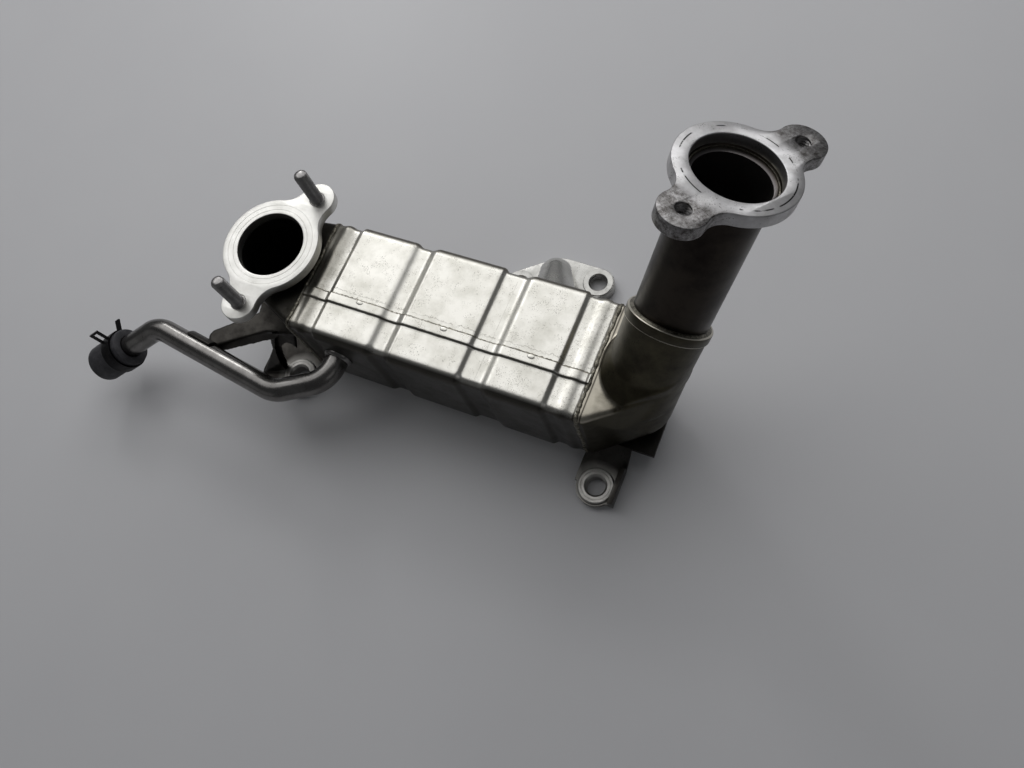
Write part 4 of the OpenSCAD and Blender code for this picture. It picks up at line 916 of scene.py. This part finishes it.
def swept(name, path, radius, wall, sides=48):
    """A hollow tube along a line of (point, direction) pairs."""
    points = []
    for r, way in ((radius, path), (radius - wall, path[::-1])):
        for p, d in way:
            side = Vector((0, 0, 1)).cross(d).normalized()
            up = d.cross(side)
            points += [p + r * (up * math.cos(b) + side * math.sin(b))
                       for b in np.linspace(0, 2 * math.pi, sides, endpoint=False)]
    return mesh_of(name, points, weave(2 * len(path), sides, rows_closed=True))


# Satin drawn steel tube: smooth mid grey, with small dark specks.
tube_steel = steel_finish(
    "satin_drawn_tube", "#807e7c", "#666462", patch_mm=12, rough=(0.22, 0.3), grain_mm=0.6,
    bump=0.08, speck="#343331", speck_mm=0.9, speck_share=0.06)[0]
put(swept("tube_skin", bent_line(TUBE_CORNERS, TUBE_BEND_R, 3), TUBE_R, TUBE_WALL),
    tube_steel, ["coolant_tube"])
profile = [(6.9, 0.0), (8.75, 0.0), (8.75, 0.5), (8.5, 1.2), (8.0, 2.0), (7.5, 2.5), (6.9, 2.6)]
put(turned("tube_bead", profile, 64), tube_steel, (), 50,
    aimed((-92.5, CASING_Y[0] - 0.05, 48), (0, -1, 0)))


# Hose stub and spring clamp
# A short reinforced rubber hose pushed over the tube's end, held by a spring band with two grip tabs. The
# band is bent from black spring steel and presses a shallow waist into the rubber.
HOSE_START, HOSE_LEN, HOSE_R, HOSE_BORE_R, HOSE_GRIP = 30.0, 29.0, 12.0, 6.5, 20.1
CLAMP_AT, CLAMP_W, CLAMP_T, TAB_OUT = 8.0, 8.0, 1.0, 9.0

# Matt EPDM rubber: nearly black, with the dusty bloom and fine grain of old hose.
rubber = bpy.data.materials.new("matt_epdm_rubber")
rubber.use_nodes = True
tree = rubber.node_tree
shader = tree.nodes["Principled BSDF"]
shader.inputs["IOR"].default_value = 1.52
place = add(tree, "ShaderNodeTexCoord").node.outputs["Object"]
bloom = add(tree, "ShaderNodeTexNoise", {"Scale": cells(6), "Detail": 6.0, "Roughness": 0.7, "Vector": place})
dusty = add(tree, "ShaderNodeMapRange", {"From Min": 0.4, "From Max": 0.75, "Value": bloom})
colour = add(tree, "ShaderNodeMix",
             {"data_type": "RGBA", 0: dusty, 6: linear("#26262a"), 7: linear("#47464a")})
grain = add(tree, "ShaderNodeTexNoise", {"Scale": cells(0.7), "Detail": 3.0, "Vector": place})
gloss = add(tree, "ShaderNodeMapRange", {"To Min": 0.5, "To Max": 0.8, "Value": grain})
relief = add(tree, "ShaderNodeBump", {"Strength": 0.35, "Distance": 0.12 * MM, "Height": grain})
tree.links.new(colour, shader.inputs["Base Color"])
tree.links.new(gloss, shader.inputs["Roughness"])
tree.links.new(relief, shader.inputs["Normal"])

profile = [(7.1, 0.4), (7.5, 0.0), (11.3, 0.0), (11.8, 0.3), (HOSE_R, 0.9), (HOSE_R, 2.6), (11.75, 4.0),
           (11.65, 8.0), (11.75, 12.0), (HOSE_R, 13.6), (HOSE_R, HOSE_GRIP + 1), (11.95, HOSE_LEN - 1.2),
           (11.7, HOSE_LEN - 0.4), (11.1, HOSE_LEN), (HOSE_BORE_R + 0.5, HOSE_LEN),
           (HOSE_BORE_R, HOSE_LEN - 0.5), (HOSE_BORE_R, HOSE_GRIP), (7.1, HOSE_GRIP)]
hose_place = aimed(TUBE_CORNERS[3] + HOSE_START * TUBE_LAST, TUBE_LAST)
put(turned("hose_rubber_stub", profile), rubber, ["hose_stub"], 40, hose_place)

# Black spring steel: phosphated and oiled, nearly black with a dull shine.
clamp_steel = steel_finish(
    "black_spring_steel", "#2c2b2c", "#19191a", patch_mm=4, rough=(0.36, 0.52), grain_mm=0.5,
    bump=0.2, speck="#0f0f10", speck_mm=0.9, speck_share=0.05)[0]


def strip(middle, ahead, thick, wide, first):
    """Points and faces of a flat strip along a line: middle points, thickness directions, height band."""
    points = []
    for (x, y), (ox, oy), (low, high) in zip(middle, ahead, wide):
        for side, z in ((-0.5, low), (0.5, low), (0.5, high), (-0.5, high)):
            points.append((x + ox * side * thick, y + oy * side * thick, z))
    n = len(middle)
    faces = weave(n, 4, first=first) + [tuple(first + k for k in (0, 1, 2, 3)),
                                        tuple(first + 4 * (n - 1) + k for k in (3, 2, 1, 0))]
    return points, faces


low, high = CLAMP_AT - CLAMP_W / 2, CLAMP_AT + CLAMP_W / 2
band_r = HOSE_R + 0.1 + CLAMP_T / 2
turns = np.radians(np.linspace(0, 360, 120, endpoint=False))
points = strip([(band_r * math.cos(a), band_r * math.sin(a)) for a in turns],
               [(math.cos(a), math.sin(a)) for a in turns], CLAMP_T, [(low, high)] * 120, 0)[0]
faces = weave(120, 4, rows_closed=True)
for angle, bands in ((258, [(6.0, 10.0)]), (197, [(4.0, 6.0), (10.0, 12.0)])):
    out = np.array([math.cos(math.radians(angle)), math.sin(math.radians(angle))])
    side = np.array([-out[1], out[0]])
    reach = np.linspace(band_r, band_r + TAB_OUT, 9)
    for band in bands:
        more, tabs = strip([out * k for k in reach], [side] * 9, CLAMP_T, [band] * 9, len(points))
        points, faces = points + more, faces + tabs
    if len(bands) == 2:
        tip = [out * k for k in (reach[-1] - 1.4, reach[-1])]
        more, tabs = strip(tip, [side] * 2, CLAMP_T * 0.99, [(5.0, 11.0)] * 2, len(points))
        points, faces = points + more, faces + tabs
put(mesh_of("spring_clamp", points, faces), clamp_steel, ["hose_clamp"], 35, hose_place)


# Brackets and tube clip
# Two feet pressed from 3 mm steel sheet: the left one carries an arm with a saddle for the tube, the right
# one steps down from under the elbow. Their edges are rounded by the press.
LEFT_FOOT, RIGHT_FOOT = Vector((-135, -109, 0)), Vector((67.9, -113.3, 0))
BUSH_HOLE_R = 10.3

# Dark bracket steel: dark grey as painted shade for the shadow the brackets stand in, and painted light round
# the feet.
bracket_steel, tree, shader, place, colour = steel_finish(
    "shade_darkened_bracket_steel", "#413f3c", "#2e2c2a", patch_mm=9, rough=(0.34, 0.48), grain_mm=0.8,
    bump=0.15, speck="#262523", speck_mm=1.1, speck_share=0.05)
# Painted light: much lighter within reach of each foot.
left_away = add(tree, "ShaderNodeVectorMath", {"operation": "DISTANCE", 0: place, 1: LEFT_FOOT * MM})
right_away = add(tree, "ShaderNodeVectorMath", {"operation": "DISTANCE", 0: place, 1: RIGHT_FOOT * MM})
away = add(tree, "ShaderNodeMath", {"operation": "MINIMUM", 0: left_away, 1: right_away})
painted_foot_light = add(tree, "ShaderNodeMapRange",
             {"From Min": 17 * MM, "From Max": 12 * MM, "To Max": 0.9, "Value": away})
colour = add(tree, "ShaderNodeMix", {"data_type": "RGBA", 0: painted_foot_light, 6: colour, 7: linear("#8b8985")})
tree.links.new(colour, shader.inputs["Base Color"])


def eased(name, node, width):
    """The node's solid with its edges rounded over. The rounding gives points and faces in no fixed order, so
    they are sorted along a slanting line."""
    solid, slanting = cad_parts[node].data, Vector((0.83, 0.47, 0.29))
    mesh = bpy.data.meshes.new(name)
    mesh.from_pydata([v.co for v in solid.vertices], [], [tuple(p.vertices) for p in solid.polygons])
    shape = bmesh.new()
    shape.from_mesh(mesh)
    bmesh.ops.remove_doubles(shape, verts=shape.verts, dist=0.002 * MM)
    bmesh.ops.dissolve_limit(shape, angle_limit=math.radians(1), verts=shape.verts, edges=shape.edges)
    sharp = [e for e in shape.edges if len(e.link_faces) == 2 and e.calc_face_angle() > math.radians(30)]
    bmesh.ops.bevel(shape, geom=sharp, offset=width * MM, segments=3, profile=0.5, affect="EDGES",
                    clamp_overlap=True)
    bmesh.ops.triangulate(shape, faces=[f for f in shape.faces if len(f.verts) > 4])
    shape.verts.sort(key=lambda v: v.co.dot(slanting))
    shape.faces.sort(key=lambda f: f.calc_center_median().dot(slanting))
    shape.to_mesh(mesh)
    shape.free()
    return mesh


def slab(spots, low, high):
    """A flat plate round discs, each given by x, y and radius."""
    up = Vector((0, 0, 1))
    return wrapped([p for x, y, r in spots for z in (low, high) for p in ring((x, y, z), up, r, 48)])


def panel(corners, thick):
    """A flat plate below four corners."""
    a, b, c, d = (Vector(p) for p in corners)
    below = (b - a).cross(d - a).normalized() * thick
    return wrapped([a, b, c, d, a + below, b + below, c + below, d + below])


arm = slab([(-146, -93.5, 7.5), (-172.5, -113.5, 5.5)], 46.5, 49.5)
root = slab([(-143, -78, 14), (-146, -93.5, 7.5), (-126, -92, 5)], 46.5, 49.5)
fold = wrapped([(x + dx, y + dy, z) for x, y, low in ((-141.5, -98.5, 40), (-170, -118.5, 43))
                for dx, dy, z in ((0, 0, 49.4), (-1.4, 1.7, 49.4), (1.2, -1.4, low), (-0.6, 0.8, low))])
foot = slab([(LEFT_FOOT.x, LEFT_FOOT.y, 13.5), (-155, -112, 7), (-157, -89, 6), (-128, -88, 6)], 3, 6)
knee = [(-146.7, -105, 30), (-131, -102, 30)]
leg = [panel([(-145.5, -98, 48), (-126, -96.5, 48), knee[1], knee[0]], 3),
       panel([knee[0], knee[1], (-147.5, -110, 5), (-160.5, -115.5, 5)], 3)]
pressing = pressed([arm, root, fold, foot] + leg, 0.7, ((0, 0, 90), (0, 0, 1)),
                   (LEFT_FOOT - Vector((0, 0, 9)), (0, 0, 1), BUSH_HOLE_R), 6)
put(joined("left_bracket_pressing", [pressing]), bracket_steel, ["left_bracket"])
put(eased("right_bracket_pressing", "right_bracket", 0.7), bracket_steel, ["right_bracket"])
put(eased("tube_saddle", "tube_clip", 0.35), bracket_steel, ["tube_clip"])


# Foot bushes
# Turned steel bushes pressed into the feet, which take the mounting bolts. Each has a sunk bore and a fine
# groove round its face.
BUSH_R, BUSH_H, BUSH_EDGE, BUSH_SINK = 10.5, 8.0, 0.6, 1.2

# Dull turned steel: plain grey, with a fine sandy grain.
bush_steel = steel_finish(
    "dull_turned_steel", "#b8b6b2", "#a3a19d", patch_mm=6, rough=(0.34, 0.48), grain_mm=0.5,
    bump=0.12, speck="#4a4845", speck_mm=0.9, speck_share=0.03)[0]
profile = [(BOSS_HOLE_R, 0.0), (BUSH_R - 0.3, 0.0), (BUSH_R, 0.3), (BUSH_R, BUSH_H - BUSH_EDGE),
           (BUSH_R - BUSH_EDGE, BUSH_H), (8.7, BUSH_H), (8.55, BUSH_H - 0.2), (8.35, BUSH_H - 0.2),
           (8.2, BUSH_H), (BOSS_HOLE_R + BUSH_SINK, BUSH_H), (BOSS_HOLE_R, BUSH_H - BUSH_SINK)]
for label, foot in (("left", LEFT_FOOT), ("right", RIGHT_FOOT)):
    put(turned(f"{label}_turned_bush", profile, 72), bush_steel,
        [f"{label}_foot_bush"], 20, Matrix.Translation(foot * MM))


# Floor, light and camera
# A plain pale grey table top under broad soft lamps above, behind and at the left, with one small lamp for
# the highlights and a weak fill from the right.
floor_mesh = bpy.data.meshes.new("floor")
floor_mesh.from_pydata([(-4, -4, 0), (4, -4, 0), (4, 4, 0), (-4, 4, 0)], [], [(0, 1, 2, 3)])
floor = bpy.data.objects.new("floor", floor_mesh)
bpy.context.scene.collection.objects.link(floor)

# Matt laminate: pale neutral grey with a faint cloudiness.
laminate = bpy.data.materials.new("matt_grey_laminate")
laminate.use_nodes = True
tree = laminate.node_tree
shader = tree.nodes["Principled BSDF"]
shader.inputs["Roughness"].default_value = 0.44
place = add(tree, "ShaderNodeTexCoord").node.outputs["Object"]
cloud = add(tree, "ShaderNodeTexNoise", {"Scale": cells(60), "Detail": 4.0, "Vector": place})
colour = add(tree, "ShaderNodeMix",
             {"data_type": "RGBA", 0: cloud, 6: linear("#cfcfd1"), 7: linear("#cbcbce")})
tree.links.new(colour, shader.inputs["Base Color"])
floor_mesh.materials.append(laminate)

world = bpy.data.worlds.new("room")
bpy.context.scene.world = world
world.use_nodes = True
world.node_tree.nodes["Background"].inputs["Color"].default_value = linear("#d8dadd")
world.node_tree.nodes["Background"].inputs["Strength"].default_value = 0.12

for name, spot, size, power in (
        ("ceiling", (-0.35, 0.55, 1.35), (2.2, 1.3), 9.0), ("window", (-0.4, 1.7, 1.0), (1.8, 0.8), 7.0),
        ("side", (-1.35, 0.4, 1.2), (1.2, 0.6), 2.0), ("room", (-1.1, -1.5, 0.55), (1.8, 0.8), 0.5),
        ("bulb", (-1.0, 0.95, 0.9), (0.3, 0.3), 2.4), ("fill", (1.2, -0.5, 0.9), (0.6, 0.6), 0.3)):
    lamp = bpy.data.lights.new(name, "AREA")
    lamp.shape, lamp.size, lamp.size_y, lamp.energy = "RECTANGLE", *size, power
    light = bpy.data.objects.new(name, lamp)
    light.location = spot
    light.rotation_euler = (Vector((-0.02, -0.06, 0.05)) - Vector(spot)).to_track_quat("-Z", "Y").to_euler()
    bpy.context.scene.collection.objects.link(light)

# The camera stands at the front right, well above the object, as for the photograph.
view = bpy.data.cameras.new("camera")
view.sensor_width, view.lens = 36.0, 31.64
camera = bpy.data.objects.new("camera", view)
bpy.context.scene.collection.objects.link(camera)
right = Vector((0.90397, 0.38128, -0.19354))
down = Vector((0.29432, -0.88318, -0.3652))
ahead = Vector((-0.31017, 0.27317, -0.91059))
camera.matrix_world = (Matrix.Translation(Vector((165.8, -219.3, 499.6)) * MM)
                       @ Matrix((right, -down, -ahead)).transposed().to_4x4())
bpy.context.scene.camera = camera
bpy.context.scene.view_settings.view_transform = "Standard"
